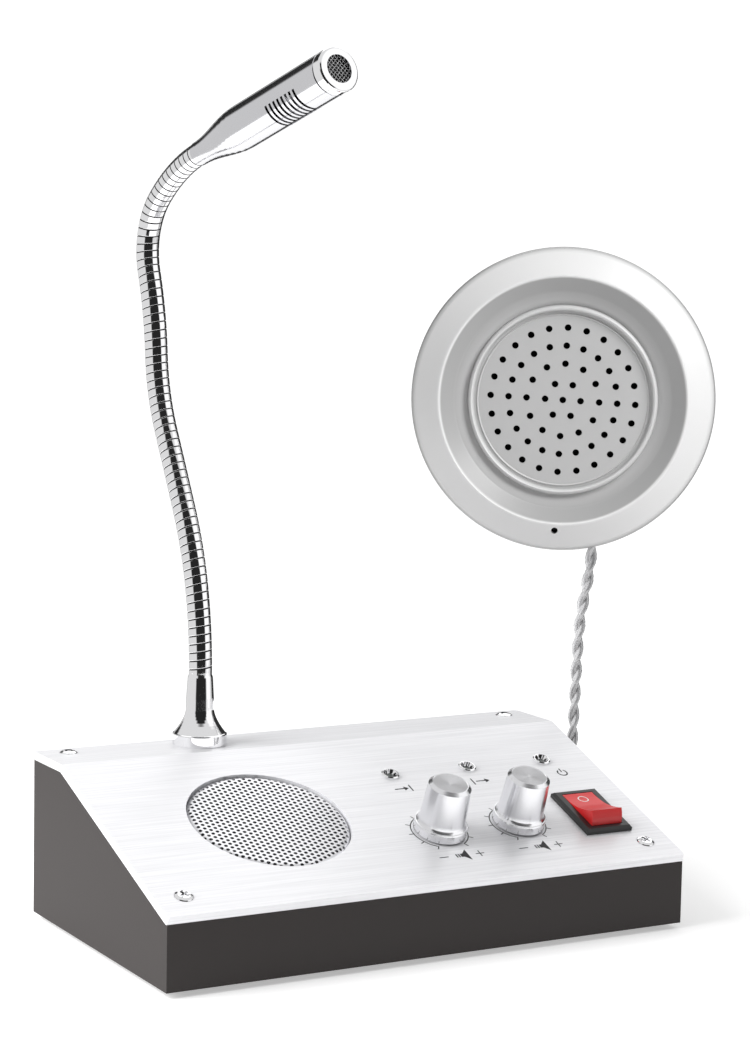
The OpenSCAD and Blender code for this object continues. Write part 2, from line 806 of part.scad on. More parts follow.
module switch_terminals() {
    color([0.8, 0.75, 0.5]) at_switch() for (y = [-6, 6]) translate([0, y, -switch_depth - blade[2] / 2])
        cube(blade, center = true);
}

// ---- Control board ----

module board_places() {
    for (x = [-1, 1], y = [-1, 1])
        translate([board_center[0] + x * (board_size[0] / 2 - board_inset),
                   board_center[1] + y * (board_size[1] / 2 - board_inset), 0]) children();
}

module control_board() {
    color([0.1, 0.35, 0.2]) difference() {
        translate([board_center[0], board_center[1], board_z + board_size[2] / 2])
            cube(board_size, center = true);
        board_places() translate([0, 0, board_z - 1])
            cylinder(d = board_screw_d + 0.4, h = board_size[2] + 2);
    }
}

module board_screws() {
    top = board_z + board_size[2];
    tip = board_z - 3.4;
    head_r = 2.4;
    head_h = 1.6;
    color([0.75, 0.75, 0.76]) board_places() rotate_extrude() polygon([
        [0, tip], [board_screw_d / 2 - 0.3, tip], [board_screw_d / 2, tip + 0.4], [board_screw_d / 2, top],
        [head_r, top], [head_r, top + 0.9], [head_r - 0.6, top + head_h], [0, top + head_h]
    ]);
}

module on_board(x, y) {
    translate([board_center[0] + x, board_center[1] + y, board_z + board_size[2]]) children();
}

module amplifier_chip() {
    color([0.1, 0.1, 0.1]) on_board(chip_at[0], chip_at[1])
        translate([-chip_size[0] / 2, -chip_size[1] / 2, 0]) cube(chip_size);
}

module heat_sink() {
    fin_pitch = (sink_size[0] - fin_size[0]) / (fin_count - 1);
    color([0.75, 0.75, 0.77]) on_board(chip_at[0], chip_at[1] + chip_size[1] / 2 + seat_gap)
        translate([-sink_size[0] / 2, 0, 0]) {
            cube(sink_size);
            for (k = [0:fin_count - 1]) translate([k * fin_pitch, sink_size[1] - eps, 0]) cube(fin_size);
        }
}

module capacitors() {
    color([0.15, 0.2, 0.4]) {
        capacitor(8, 12, 5, 11);
        capacitor(20, 12, 5, 11);
        capacitor(12, -4, 3.2, 8);
        capacitor(20, -4, 3.2, 8);
        capacitor(-24, -6, 3.2, 7);
    }
}

module capacitor(x, y, r, h) {
    on_board(x, y) rotate_extrude() polygon([
        [0, 0], [r, 0], [r, 1.2], [r - 0.4, 1.6], [r, 2], [r, h - 0.5], [r - 0.5, h], [0, h]
    ]);
}

// ---- Rear sockets ----

module dc_jack() {
    color([0.12, 0.12, 0.12]) on_rear(jack_x, socket_z) difference() {
        union() {
            translate([0, 0, -wall - jack_body[2] / 2]) cube(jack_body, center = true);
            translate([0, 0, -wall - eps]) cylinder(d = jack_thread_d, h = wall + socket_nut_h + 0.8);
        }
        difference() {
            translate([0, 0, -wall - jack_pin_l + 3]) cylinder(d = jack_bore_d, h = big);
            translate([0, 0, -wall - jack_pin_l]) cylinder(d = jack_pin_d, h = jack_pin_l + wall);
        }
    }
}

module speaker_socket() {
    color([0.12, 0.12, 0.12]) on_rear(socket_x, socket_z) difference() {
        union() {
            translate([0, 0, -wall - socket_body[2] / 2]) cube(socket_body, center = true);
            translate([0, 0, -wall - eps]) cylinder(d = socket_thread_d, h = wall + socket_nut_h + 0.6);
        }
        translate([0, 0, -wall - socket_body[2] + 1]) cylinder(d = plug_pin_d + 2 * fit_gap, h = big);
    }
}

module socket_nuts() {
    color([0.78, 0.78, 0.8]) {
        on_rear(jack_x, socket_z)
            hex_nut(jack_nut_af, socket_nut_h, jack_thread_d + 2 * fit_gap);
        on_rear(socket_x, socket_z)
            hex_nut(socket_nut_af, socket_nut_h, socket_thread_d + 2 * fit_gap);
    }
}

// ---- Gooseneck ----

module gooseneck_flange() {
    foot_r = flange_d / 2;
    shoulder_r = foot_r - 0.5;
    waist_r = flange_waist_d / 2;
    neck_r = neck_d / 2 - 0.1;
    tail_z = -flange_tail_l - panel_t;
    color([0.8, 0.8, 0.82]) on_strip(-neck_x, rear_y - neck_inset) rotate_extrude() polygon(concat(
        [[flange_bore_d / 2, tail_z], [flange_tail_d / 2 - 0.5, tail_z],
         [flange_tail_d / 2, tail_z + 0.5], [flange_tail_d / 2, 0], [foot_r - 0.2, 0],
         [foot_r, 0.2], [foot_r, flange_rim_h - 0.5], [foot_r - 0.15, flange_rim_h - 0.15]],
        [for (t = [0:0.125:1]) [
            waist_r + (shoulder_r - waist_r) * pow(1 - t, 1.6),
            flange_rim_h + (flange_waist_z - flange_rim_h) * t]],
        [[waist_r - 0.1, flange_waist_z + 4], [waist_r - 0.45, flange_h - 2.5],
         [waist_r - 0.55, flange_h - 1.3], [neck_r, flange_h - 0.5], [neck_r, flange_h],
         [flange_bore_d / 2, flange_h]]
    ));
}

module flange_nut() {
    color([0.75, 0.75, 0.76]) on_strip(-neck_x, rear_y - neck_inset)
        translate([0, 0, -panel_t - flange_nut_h])
            hex_nut(flange_nut_af, flange_nut_h, flange_tail_d + 2 * fit_gap);
}

module neck_bead() {
    core_r = neck_core_d / 2 - 0.3;
    crown = neck_d / 2 - core_r;
    rotate_extrude() polygon(concat(
        [[0, -bead_w / 2]],
        [for (a = [-90:30:90]) [core_r + crown * cos(a), bead_w / 2 * sin(a)]],
        [[0, bead_w / 2]]
    ));
}

module neck_stretch(i) {
    bend_r = abs(neck_bend_r(i));
    turn = abs(neck_turns[i]);
    trim = neck_gap / bend_r * 180 / PI;
    color([0.8, 0.8, 0.82]) union() {
        at_neck(i, 0) mirror([0, neck_turns[i] < 0 ? 1 : 0, 0]) translate([0, -bend_r, 0])
            rotate([90, 0, 90]) rotate([0, 0, trim]) rotate_extrude(angle = turn - 2 * trim)
                translate([bend_r, 0]) circle(d = neck_core_d);
        for (k = [0:neck_beads - 1]) at_neck(i, (k + 0.5) / neck_beads) neck_bead();
    }
}

// ---- Microphone ----

function mic_cone_r(t) = neck_d / 2 + 0.15 + (mic_d - neck_d - 0.3) / 2 * t * t * (3 - 2 * t);

module mic_body() {
    bore_r = mic_d / 2 - mic_wall;
    color([0.85, 0.85, 0.86]) at_head() difference() {
        rotate_extrude() polygon(concat(
            [[1.6, neck_gap], [neck_d / 2, neck_gap]],
            [for (k = [0:9]) [mic_cone_r(k / 9), neck_gap + 0.2 + (mic_cone_l - 0.2) * k / 9]],
            [[mic_d / 2, mic_l], [bore_r, mic_l], [bore_r, mic_cone_l], [1.6, mic_cone_l - 6]]
        ));
        for (k = [0:mic_slots - 1])
            translate([0, 0, mic_l - mic_slot_first - k * mic_slot_pitch - mic_slot_w / 2])
                rotate([0, 0, 270 - mic_slot_angle / 2]) rotate_extrude(angle = mic_slot_angle)
                    translate([bore_r - 1, 0]) square([mic_wall + 2, mic_slot_w]);
    }
}

module mic_cap() {
    r = mic_d / 2;
    color([0.9, 0.9, 0.9]) at_head() translate([0, 0, mic_l]) rotate_extrude() polygon(concat(
        [[mesh_d / 2 + 0.5, 0], [r - 0.3, 0], [r - 0.3, 0.4], [r, 0.6]],
        [for (a = [0:15:90]) [r - cap_round * (1 - cos(a)), mic_cap_l - cap_round * (1 - sin(a))]],
        [[mesh_d / 2, mic_cap_l], [mesh_d / 2, mic_cap_l - mesh_seat],
         [mesh_d / 2 + 0.5, mic_cap_l - mesh_seat]]
    ));
}

module mic_mesh() {
    r = mesh_d / 2 + 0.45;
    reach = floor(r / mesh_pitch);
    color([0.55, 0.55, 0.57]) at_head()
        translate([0, 0, mic_l + mic_cap_l - mesh_seat - mesh_t]) linear_extrude(mesh_t) difference() {
            circle(r);
            rotate(20) for (x = [-reach:reach], y = [-reach:reach])
                if (norm([x, y]) * mesh_pitch < r - 0.9)
                    translate([x * mesh_pitch, y * mesh_pitch]) square(mesh_hole, center = true);
        }
}

module mic_capsule() {
    top = mic_l + mic_cap_l - mesh_seat - mesh_t - 0.2;
    color([0.7, 0.7, 0.7]) at_head() translate([0, 0, top - mic_capsule_l]) rotate_extrude() polygon([
        [0, 0], [mic_capsule_d / 2, 0], [mic_capsule_d / 2, mic_capsule_l - 0.4],
        [mic_capsule_d / 2 - 0.4, mic_capsule_l], [1.2, mic_capsule_l], [1.2, mic_capsule_l - 0.6],
        [0, mic_capsule_l - 0.6]
    ]);
}

module mic_boot() {
    color([0.1, 0.1, 0.1]) at_head() translate([0, 0, mic_l - mic_boot_l - 0.5]) difference() {
        cylinder(r = mic_d / 2 - mic_wall, h = mic_boot_l);
        translate([0, 0, -1]) cylinder(d = mic_capsule_d, h = mic_boot_l + 2);
    }
}

// ---- Window speaker ----

module window_shell() {
    rim_in = window_r - window_wall;
    seat_r = insert_r + seat_gap;
    crest_h = window_h;
    color([0.84, 0.84, 0.85]) on_window() difference() {
        union() {
            rotate_extrude() polygon([
                [rim_in, 0], [window_r - 0.8, 0], [window_r, 1.2], [window_r, 4.4],
                [window_r - 0.5, 6], [window_r - 1.7, 7.4], [crest_r + 0.8, crest_h - 0.2],
                [crest_r + 0.2, crest_h], [crest_r - 0.4, crest_h - 0.3],
                [(crest_r + insert_r) / 2 - 0.4, (crest_h + dish_floor_h) / 2 - 0.7],
                [seat_r, dish_floor_h], [seat_r, dish_floor_h - window_wall],
                [(crest_r + insert_r) / 2, (crest_h + dish_floor_h) / 2 - 0.7 - window_wall],
                [crest_r, crest_h - window_wall - 0.4], [window_r - 3, 6.2], [rim_in, 4.4]
            ]);
            window_screw_places() translate([0, 0, 0.2]) cylinder(r = 2.6, h = 8);
            rotate([0, 0, window_mic_angle]) translate([window_mic_ring, 0, 3])
                cylinder(d = window_mic_d + 2.4, h = 4.4);
        }
        window_screw_places() translate([0, 0, -1]) cylinder(d = 2 + 2 * fit_gap, h = 8);
        rotate([0, 0, window_mic_angle]) translate([window_mic_ring, 0, 0]) {
            cylinder(d = window_mic_d + 2 * fit_gap, h = 6.4);
            cylinder(d = window_hole_d, h = crest_h + 1);
        }
    }
}

module window_screw_places() {
    for (a = [30, 150, 215, 325]) rotate([0, 0, a]) translate([window_screw_ring, 0, 0]) children();
}

module window_grille() {
    back = dish_floor_h - window_wall - seat_gap;
    face = insert_face_h;
    color([0.8, 0.8, 0.81]) on_window() difference() {
        rotate_extrude() polygon([
            [0, face + 0.5], [insert_r - 12, face + 0.3], [insert_r - 3.8, face],
            [insert_r - 3.4, face + 0.4], [insert_r - 2.9, face], [insert_r - 2.2, face + 0.2],
            [insert_r - 1.7, insert_ring_h - 0.3], [insert_r - 1.1, insert_ring_h],
            [insert_r - 0.4, insert_ring_h - 0.4], [insert_r, insert_ring_h - 1.6], [insert_r, back],
            [insert_r + 2, back], [insert_r + 2, back - 1.4], [insert_r - 2, back - 1.4],
            [insert_r - 3, face - 1.6], [0, face - 1.2]
        ]);
        for (ring = insert_hole_rings, k = [0:ring[0] - 1])
            rotate([0, 0, k * 360 / ring[0]]) translate([ring[1], 0, face - 3])
                cylinder(d = window_hole_d, h = 6, $fn = 24);
    }
}

module window_driver() {
    rim_z = dish_floor_h - window_wall - 1.5 - seat_gap;
    floor_in = -window_pod_h + window_wall;
    back_z = floor_in + 0.6;
    magnet_h = 5;
    magnet_r = 18;
    front_z = back_z + magnet_h;
    color([0.3, 0.3, 0.32]) on_window() rotate_extrude() polygon([
        [0, back_z], [magnet_r - 1, back_z], [magnet_r, back_z + 1], [magnet_r, front_z],
        [magnet_r + 2, front_z + 0.6], [insert_r - 3, rim_z - 1.9], [insert_r + 1, rim_z - 1.5],
        [insert_r + 1, rim_z], [insert_r - 3, rim_z], [insert_r - 3, rim_z - 0.9],
        [insert_r - 6.5, rim_z - 0.9], [magnet_r + 1, front_z + 1.6], [8, front_z + 1.6], [8, back_z + 2],
        [6.4, back_z + 2], [6.4, front_z + 2], [0, front_z + 2]
    ]);
}

module window_cone() {
    rim_z = dish_floor_h - window_wall - 1.5 - seat_gap;
    throat = -window_pod_h + window_wall + 8.4;
    color([0.12, 0.12, 0.13]) on_window() rotate_extrude() polygon([
        [0, throat + 1.8], [6.5, throat + 0.8], [insert_r - 9, rim_z - 0.5], [insert_r - 8, rim_z],
        [insert_r - 6.5, rim_z - 0.3], [insert_r - 3.1, rim_z - 0.3], [insert_r - 3.1, rim_z - 0.85],
        [insert_r - 7, rim_z - 0.8], [insert_r - 9, rim_z - 1.1], [7.4, throat],
        [7.4, throat - 1], [6.8, throat - 1], [6.8, throat + 0.1], [0, throat + 1.1]
    ]);
}

module window_mic() {
    color([0.5, 0.5, 0.5]) on_window() rotate([0, 0, window_mic_angle]) translate([window_mic_ring, 0, 3.4])
        rotate_extrude() polygon([
            [0, 0], [window_mic_d / 2, 0], [window_mic_d / 2, 2.6], [window_mic_d / 2 - 0.3, 3],
            [0.9, 3], [0.9, 2.7], [0, 2.7]
        ]);
}

module window_back() {
    lip_r = window_r - window_wall - seat_gap;
    exit_bore_l = 40;
    color([0.75, 0.75, 0.76]) on_window() difference() {
        union() {
            rotate_extrude() polygon([
                [0, -window_pod_h], [pod_r - 2, -window_pod_h], [pod_r, -window_pod_h + 2], [pod_r, -back_t],
                [window_r - 0.8, -back_t], [window_r - 0.8, 0], [lip_r, 0], [lip_r, 2.4], [lip_r - 1, 2.4],
                [lip_r - 1, 0], [pod_r - window_wall, 0], [pod_r - window_wall, -window_pod_h + 2.6],
                [pod_r - window_wall - 1, -window_pod_h + window_wall], [0, -window_pod_h + window_wall]
            ]);
            cord_exit() translate([0, 0, -exit_boss / 2]) cube(exit_boss, center = true);
        }
        window_screw_places() translate([0, 0, -back_t - 1]) cylinder(d = 2.4, h = back_t + 2);
        cord_exit() translate([0, 0, -exit_bore_l / 2])
            cylinder(d = cord_d + 1.6 + 2 * fit_gap, h = exit_bore_l);
    }
}

module cord_exit() {
    translate([cord_exit_x, -exit_seat, -cord_exit_depth]) rotate([90, 0, 0]) children();
}

module window_screws() {
    color([0.75, 0.75, 0.76]) on_window() window_screw_places() rotate_extrude() polygon([
        [0, -back_t - 1.4], [1.6, -back_t - 1.4], [2, -back_t - 0.8], [2, -back_t], [1, -back_t], [1, 5.4],
        [0.6, 6], [0, 6]
    ]);
}

module window_pad() {
    pad_outer_r = pod_r - 3;
    pad_inner_r = 22;
    color([0.9, 0.9, 0.88]) on_window() translate([0, 0, -window_pod_h - window_pad_t]) difference() {
        cylinder(r = pad_outer_r, h = window_pad_t);
        translate([0, 0, -1]) cylinder(r = pad_inner_r, h = window_pad_t + 2);
    }
}

// ---- Speaker cord ----

module cord_gland() {
    bore_r = cord_d / 2 + seat_gap;
    color([0.8, 0.8, 0.8]) on_window() cord_exit() difference() {
        rotate_extrude() polygon([
            [bore_r, -6], [cord_d / 2 + 0.8, -6], [cord_d / 2 + 0.8, 0.05], [cord_d / 2 + 1.6, 0.05],
            [cord_d / 2 + 1.6, 1.6], [cord_d / 2 + 0.7, gland_l], [bore_r, gland_l]
        ]);
    }
}

function unit(v) = v / norm(v);
function heading(route, i) =
    unit(route[min(i + 1, len(route) - 1)] - route[max(i - 1, 0)]);
function turned(side, along) = unit(side - (side * along) * along);
function sides_of(route) = [
    for (i = 0, s = turned([1, 0, 0.1], heading(route, 0)); i < len(route);
         i = i + 1, s = i < len(route) ? turned(s, heading(route, i)) : s) s
];

module tube(route, d) {
    side = sides_of(route);
    count = len(route);
    rings = [for (i = [0:count - 1], k = [0:cord_sides - 1])
        let (a = 360 * k / cord_sides, along = heading(route, i))
        route[i] + d / 2 * (cos(a) * side[i] + sin(a) * cross(along, side[i]))];
    walls = [for (i = [0:count - 2], k = [0:cord_sides - 1])
        let (n = (k + 1) % cord_sides, a = i * cord_sides)
        [a + k, a + cord_sides + k, a + cord_sides + n, a + n]];
    caps = [
        [for (k = [0:cord_sides - 1]) k],
        [for (k = [cord_sides - 1:-1:0]) (count - 1) * cord_sides + k]
    ];
    polyhedron(rings, concat(walls, caps));
}

module speaker_cord() {
    color([0.85, 0.85, 0.85]) {
        tube(hang_route, cord_d);
        tube(plug_route, cord_d);
    }
}

module coil_section(grow) {
    w = coil_columns * cord_d + 2 * grow;
    h = coil_layers * cord_d + 2 * grow;
    translate([coil_mean_r, coil_lift + coil_layers * cord_d / 2]) rounded_plate(w, h, cord_d / 2);
}

module cord_coil() {
    color([0.85, 0.85, 0.85]) translate([coil_center[0], coil_center[1], 0])
        rotate_extrude() coil_section(0);
}

module cord_tie() {
    color([0.1, 0.1, 0.1]) translate([coil_center[0], coil_center[1], 0]) rotate([0, 0, tie_angle])
        rotate_extrude(angle = tie_w / coil_mean_r * 180 / PI) difference() {
            coil_section(tie_t);
            coil_section(0);
        }
}

module cord_plug() {
    start = socket_nut_h + 0.7;
    end = start + plug_l + plug_relief_l;
    color([0.1, 0.1, 0.1]) on_rear(socket_x, socket_z) {
        rotate_extrude() polygon([
            [0, -plug_pin_l + start], [0.6, -plug_pin_l + start], [plug_pin_d / 2, -plug_pin_l + start + 1.4],
            [plug_pin_d / 2, start], [plug_d / 2, start], [plug_d / 2, start + plug_l - 1],
            [plug_d / 2 - 1, start + plug_l], [cord_d / 2 + 1.1, start + plug_l],
            [cord_d / 2 + 0.5, end], [0, end]
        ]);
    }
}

// ---- Nodes ----

module left_pot() { pot(pot_axis_x[0]); }
module left_pot_nut() { pot_nut(pot_axis_x[0]); }
module left_shaft() { pot_shaft(pot_axis_x[0]); }
module left_knob() { knob(pot_axis_x[0]); }
module right_pot() { pot(pot_axis_x[1]); }
module right_pot_nut() { pot_nut(pot_axis_x[1]); }
module right_shaft() { pot_shaft(pot_axis_x[1]); }
module right_knob() { knob(pot_axis_x[1]); }

housing();
rubber_feet();
top_panel();
panel_screws();
speaker_grille();
grille_gasket();
speaker_basket();
speaker_magnet();
speaker_cone();
speaker_clamps();
speaker_nuts();
left_pot();
left_pot_nut();
left_shaft();
left_knob();
right_pot();
right_pot_nut();
right_shaft();
right_knob();
led_bezels();
led_lamps();
led_nuts();
switch_housing();
switch_rocker();
switch_terminals();
control_board();
board_screws();
amplifier_chip();
heat_sink();
capacitors();
dc_jack();
speaker_socket();
socket_nuts();
gooseneck_flange();
flange_nut();
neck_stretch(0);  // gooseneck_1
neck_stretch(1);  // gooseneck_2
neck_stretch(2);  // gooseneck_3
neck_stretch(3);  // gooseneck_4
neck_stretch(4);  // gooseneck_5
neck_stretch(5);  // gooseneck_6
neck_stretch(6);  // gooseneck_7
mic_body();
mic_cap();
mic_mesh();
mic_capsule();
mic_boot();
window_shell();
window_grille();
window_driver();
window_cone();
window_mic();
window_back();
window_screws();
window_pad();
cord_gland();
speaker_cord();
cord_coil();
cord_tie();
cord_plug();
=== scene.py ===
import math

import bpy
from mathutils import Matrix, Vector
from mathutils.geometry import delaunay_2d_cdt


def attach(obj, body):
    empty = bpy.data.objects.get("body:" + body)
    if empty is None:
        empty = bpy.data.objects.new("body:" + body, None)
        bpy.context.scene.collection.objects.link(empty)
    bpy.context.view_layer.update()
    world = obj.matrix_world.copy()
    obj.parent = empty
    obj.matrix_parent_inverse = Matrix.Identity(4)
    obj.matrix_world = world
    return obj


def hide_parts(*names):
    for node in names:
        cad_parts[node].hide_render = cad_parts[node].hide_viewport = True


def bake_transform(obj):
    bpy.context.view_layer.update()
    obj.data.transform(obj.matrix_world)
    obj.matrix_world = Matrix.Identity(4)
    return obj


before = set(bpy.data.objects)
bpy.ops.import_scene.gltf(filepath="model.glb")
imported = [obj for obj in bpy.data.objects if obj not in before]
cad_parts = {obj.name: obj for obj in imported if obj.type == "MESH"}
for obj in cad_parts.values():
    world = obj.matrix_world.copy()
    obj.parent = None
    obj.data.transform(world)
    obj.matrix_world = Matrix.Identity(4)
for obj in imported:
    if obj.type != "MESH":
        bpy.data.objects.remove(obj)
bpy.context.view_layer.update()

MM = 0.001

# The console, in millimetres, as the frame has it
CONSOLE_D = 105.5
FOOT_H = 2.0
REAR_H = 52.0
FRONT_H = 21.1
STRIP_D = 23.4
PANEL_T = 2.6
FRONT_Y = -CONSOLE_D / 2
REAR_Y = CONSOLE_D / 2
BEND_Y = REAR_Y - STRIP_D
SLOPE = math.atan((REAR_H - FRONT_H) / (BEND_Y - FRONT_Y))
STRIP_Z = FOOT_H + REAR_H + PANEL_T

# Places on the sloping panel: across from the middle, and up the slope
SPEAKER_AT = (-39.6, 45.5)
KNOB_X = (15.1, 45.6)
KNOB_S = 28.6
LAMP_X = (15.1, 45.6, 76.1)
SWITCH_AT = (75.35, 29.1)

# The photograph's camera
CAMERA_AT = (-417.38, -740.87, 228.99)
CAMERA_RIGHT = (0.87024, -0.49223, 0.01978)
CAMERA_UP = (0.03639, 0.10427, 0.99388)
CAMERA_AHEAD = (0.49128, 0.86420, -0.10866)
FOCAL_PIXELS = 2590.0
PICTURE_H = 1041.0
SENSOR = 36.0


# ---- Places ----

def turn(angle, axis):
    return Matrix.Rotation(math.radians(angle), 4, axis)


def shift(x, y, z):
    return Matrix.Translation((x, y, z))


def on_slope(x, s, z=0.0):
    """A point of the sloping panel's surface: x across, s up the slope, z out of it."""
    foot = shift(x, FRONT_Y, FOOT_H + FRONT_H)
    return foot @ Matrix.Rotation(SLOPE, 4, "X") @ shift(0, s, PANEL_T + z)


# The window speaker: its middle, the way it faces, and its radii
WINDOW_AT = (107.0, 45.0, 172.0)
WINDOW_YAW = 33.7
WINDOW_ROLL = 2.6
WINDOW_R = 55.0
CREST_R = 44.5
INSERT_R = 34.25
ON_WINDOW = shift(*WINDOW_AT) @ turn(-WINDOW_YAW, "Z") @ turn(90, "X") @ turn(-WINDOW_ROLL, "Z")

# The neck: where it stands, and how many degrees each of its stretches bends
NECK_X = -39.2
NECK_INSET = 10.7
NECK_HEADING = 8
NECK_FOOT = shift(NECK_X, REAR_Y - NECK_INSET, STRIP_Z) @ turn(NECK_HEADING, "Z")
NECK_START = 24.5
NECK_STRETCH = 28.0
NECK_TURNS = (-11, -13, -1, 21, -13, 63, 26)
NECK_END = NECK_STRETCH * len(NECK_TURNS)


def bend_point(across, up, lean, turned, t):
    """Where an arc of the neck gets to: how far across and up, and its lean there."""
    radius = NECK_STRETCH * 180 / (math.pi * turned)
    a, b = math.radians(lean), math.radians(lean + turned * t)
    across += radius * (math.cos(a) - math.cos(b))
    up += radius * (math.sin(b) - math.sin(a))
    return across, up, lean + turned * t


def neck_starts():
    """Where each stretch of the neck begins, and where the last one ends."""
    starts = [(0.0, NECK_START, 0.0)]
    for turned in NECK_TURNS:
        starts.append(bend_point(*starts[-1], turned, 1.0))
    return starts


NECK_STARTS = neck_starts()


def on_neck(run):
    """The neck's middle line, run millimetres up from the chrome foot."""
    run = min(max(run, 0.0), NECK_END)
    i = min(int(run // NECK_STRETCH), len(NECK_TURNS) - 1)
    across, up, lean = bend_point(*NECK_STARTS[i], NECK_TURNS[i], run / NECK_STRETCH - i)
    return NECK_FOOT @ shift(0, -across, up) @ turn(lean, "X")


# ---- Meshes, made in millimetres and placed in metres ----

def add_mesh(name, points, faces, place=Matrix(), smooth=True):
    mesh = bpy.data.meshes.new(name)
    mesh.from_pydata([MM * (place @ Vector(p)) for p in points], [], faces)
    mesh.validate()
    for face in mesh.polygons:
        face.use_smooth = smooth
    piece = bpy.data.objects.new(name, mesh)
    bpy.context.scene.collection.objects.link(piece)
    return piece


def finish_piece(piece, body, material, replaces=()):
    """Gives a piece its material and its body, and hides the nodes it stands for."""
    piece.data.materials.append(material)
    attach(piece, body)
    if replaces:
        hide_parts(*replaces)
    return piece


EDGE_ANGLE = 38


def soft_edges(piece, angle=EDGE_ANGLE):
    """Smooth shading that keeps the true edges."""
    for face in piece.data.polygons:
        face.use_smooth = True
    split = piece.modifiers.new("edges", "EDGE_SPLIT")
    split.split_angle = math.radians(angle)


def frames_along(points):
    """The direction and two square sides at each point of a path, turned as little as possible."""
    last = len(points) - 1
    ahead = [(points[min(i + 1, last)] - points[max(i - 1, 0)]).normalized() for i in range(last + 1)]
    side = ahead[0].orthogonal().normalized()
    out = []
    for direction in ahead:
        side = (side - side.dot(direction) * direction).normalized()
        out.append((direction, side, direction.cross(side)))
    return out


def skin(rings, capped=True):
    """Points and faces of a skin over equal rings of points."""
    count = len(rings[0])
    points = [p for ring in rings for p in ring]
    faces = []
    for i in range(len(rings) - 1):
        for k in range(count):
            n = (k + 1) % count
            a, b = i * count, (i + 1) * count
            faces.append((a + k, a + n, b + n, b + k))
    if capped:
        faces.append(tuple(reversed(range(count))))
        faces.append(tuple(range(len(points) - count, len(points))))
    return points, faces


def tube_of(path, radius, sides):
    """Points and faces of a round wire along a path."""
    rings = [
        [p + radius * (math.cos(a) * side + math.sin(a) * other)
         for a in (2 * math.pi * k / sides for k in range(sides))]
        for p, (_, side, other) in zip(path, frames_along(path))
    ]
    return skin(rings)


def joined(parts):
    """Several lots of points and faces as one."""
    points, faces = [], []
    for some_points, some_faces in parts:
        base = len(points)
        points += some_points
        faces += [tuple(base + i for i in face) for face in some_faces]
    return points, faces


def circle_points(radius, count, centre=(0.0, 0.0), start=0.0):
    return [
        (centre[0] + radius * math.cos(a), centre[1] + radius * math.sin(a))
        for a in (start + 2 * math.pi * k / count for k in range(count))
    ]


def smooth_path(route, step):
    """Points of a smooth curve through a given route, about a step apart."""
    points = [Vector(p) for p in route]
    ends = [2 * points[0] - points[1]] + points + [2 * points[-1] - points[-2]]
    out = []
    for i in range(1, len(ends) - 2):
        p0, p1, p2, p3 = ends[i - 1:i + 3]
        count = max(2, round((p2 - p1).length / step))
        for k in range(count):
            t = k / count
            out.append(0.5 * (
                2 * p1 + (p2 - p0) * t + (2 * p0 - 5 * p1 + 4 * p2 - p3) * t * t
                + (3 * p1 - p0 - 3 * p2 + p3) * t ** 3
            ))
    out.append(points[-1])
    return out


# ---- Materials ----

def new_material(name, colour, rough, metal=0.0, **sockets):
    """A material from its colour, its roughness, how metallic it is, and other sockets by name."""
    material = bpy.data.materials.new(name)
    material.use_nodes = True
    shader = material.node_tree.nodes["Principled BSDF"]
    shader.inputs["Base Color"].default_value = (*colour, 1.0)
    shader.inputs["Roughness"].default_value = rough
    shader.inputs["Metallic"].default_value = metal
    for socket, value in sockets.items():
        shader.inputs[socket.replace("_", " ")].default_value = value
    return material


def object_place(material, place=Matrix()):
    """The object's own coordinates, seen from a place given in millimetres."""
    nodes, links = material.node_tree.nodes, material.node_tree.links
    coordinates = nodes.new("ShaderNodeTexCoord")
    mapping = nodes.new("ShaderNodeMapping")
    mapping.vector_type = "TEXTURE"
    mapping.inputs["Location"].default_value = MM * place.translation
    mapping.inputs["Rotation"].default_value = place.to_euler()
    links.new(coordinates.outputs["Object"], mapping.inputs["Vector"])
    return mapping.outputs["Vector"]


def noise_of(material, stretch, scale, detail):
    """A noise over the object's own coordinates, stretched by (x, y, z) factors."""
    nodes, links = material.node_tree.nodes, material.node_tree.links
    mapping = nodes.new("ShaderNodeMapping")
    noise = nodes.new("ShaderNodeTexNoise")
    mapping.inputs["Scale"].default_value = stretch
    noise.inputs["Scale"].default_value = scale
    noise.inputs["Detail"].default_value = detail
    links.new(object_place(material), mapping.inputs["Vector"])
    links.new(mapping.outputs["Vector"], noise.inputs["Vector"])
    return noise


def ramp_to(material, value, socket, stops):
    """Colours or numbers at positions along a value, into one of the shader's sockets."""
    nodes, links = material.node_tree.nodes, material.node_tree.links
    ramp = nodes.new("ShaderNodeValToRGB")
    elements = ramp.color_ramp.elements
    while len(elements) < len(stops):
        elements.new(0.5)
    for element, (position, tone) in zip(elements, stops):
        element.position = position
        colour = tone if isinstance(tone, tuple) else (tone, tone, tone)
        element.color = (*colour, 1.0)
    links.new(value, ramp.inputs["Fac"])
    links.new(ramp.outputs["Color"], nodes["Principled BSDF"].inputs[socket])


def vary(material, noise, socket, low, high):
    """Lets a noise move a number or a colour between two values."""
    ramp_to(material, noise.outputs["Fac"], socket, [(0.3, low), (0.7, high)])


def bump(material, height, strength, distance):
    """Raises the surface by a height, the distance in metres."""
    nodes, links = material.node_tree.nodes, material.node_tree.links
    node = nodes.new("ShaderNodeBump")
    node.inputs["Strength"].default_value = strength
    node.inputs["Distance"].default_value = distance
    links.new(height, node.inputs["Height"])
    links.new(node.outputs["Normal"], nodes["Principled BSDF"].inputs["Normal"])


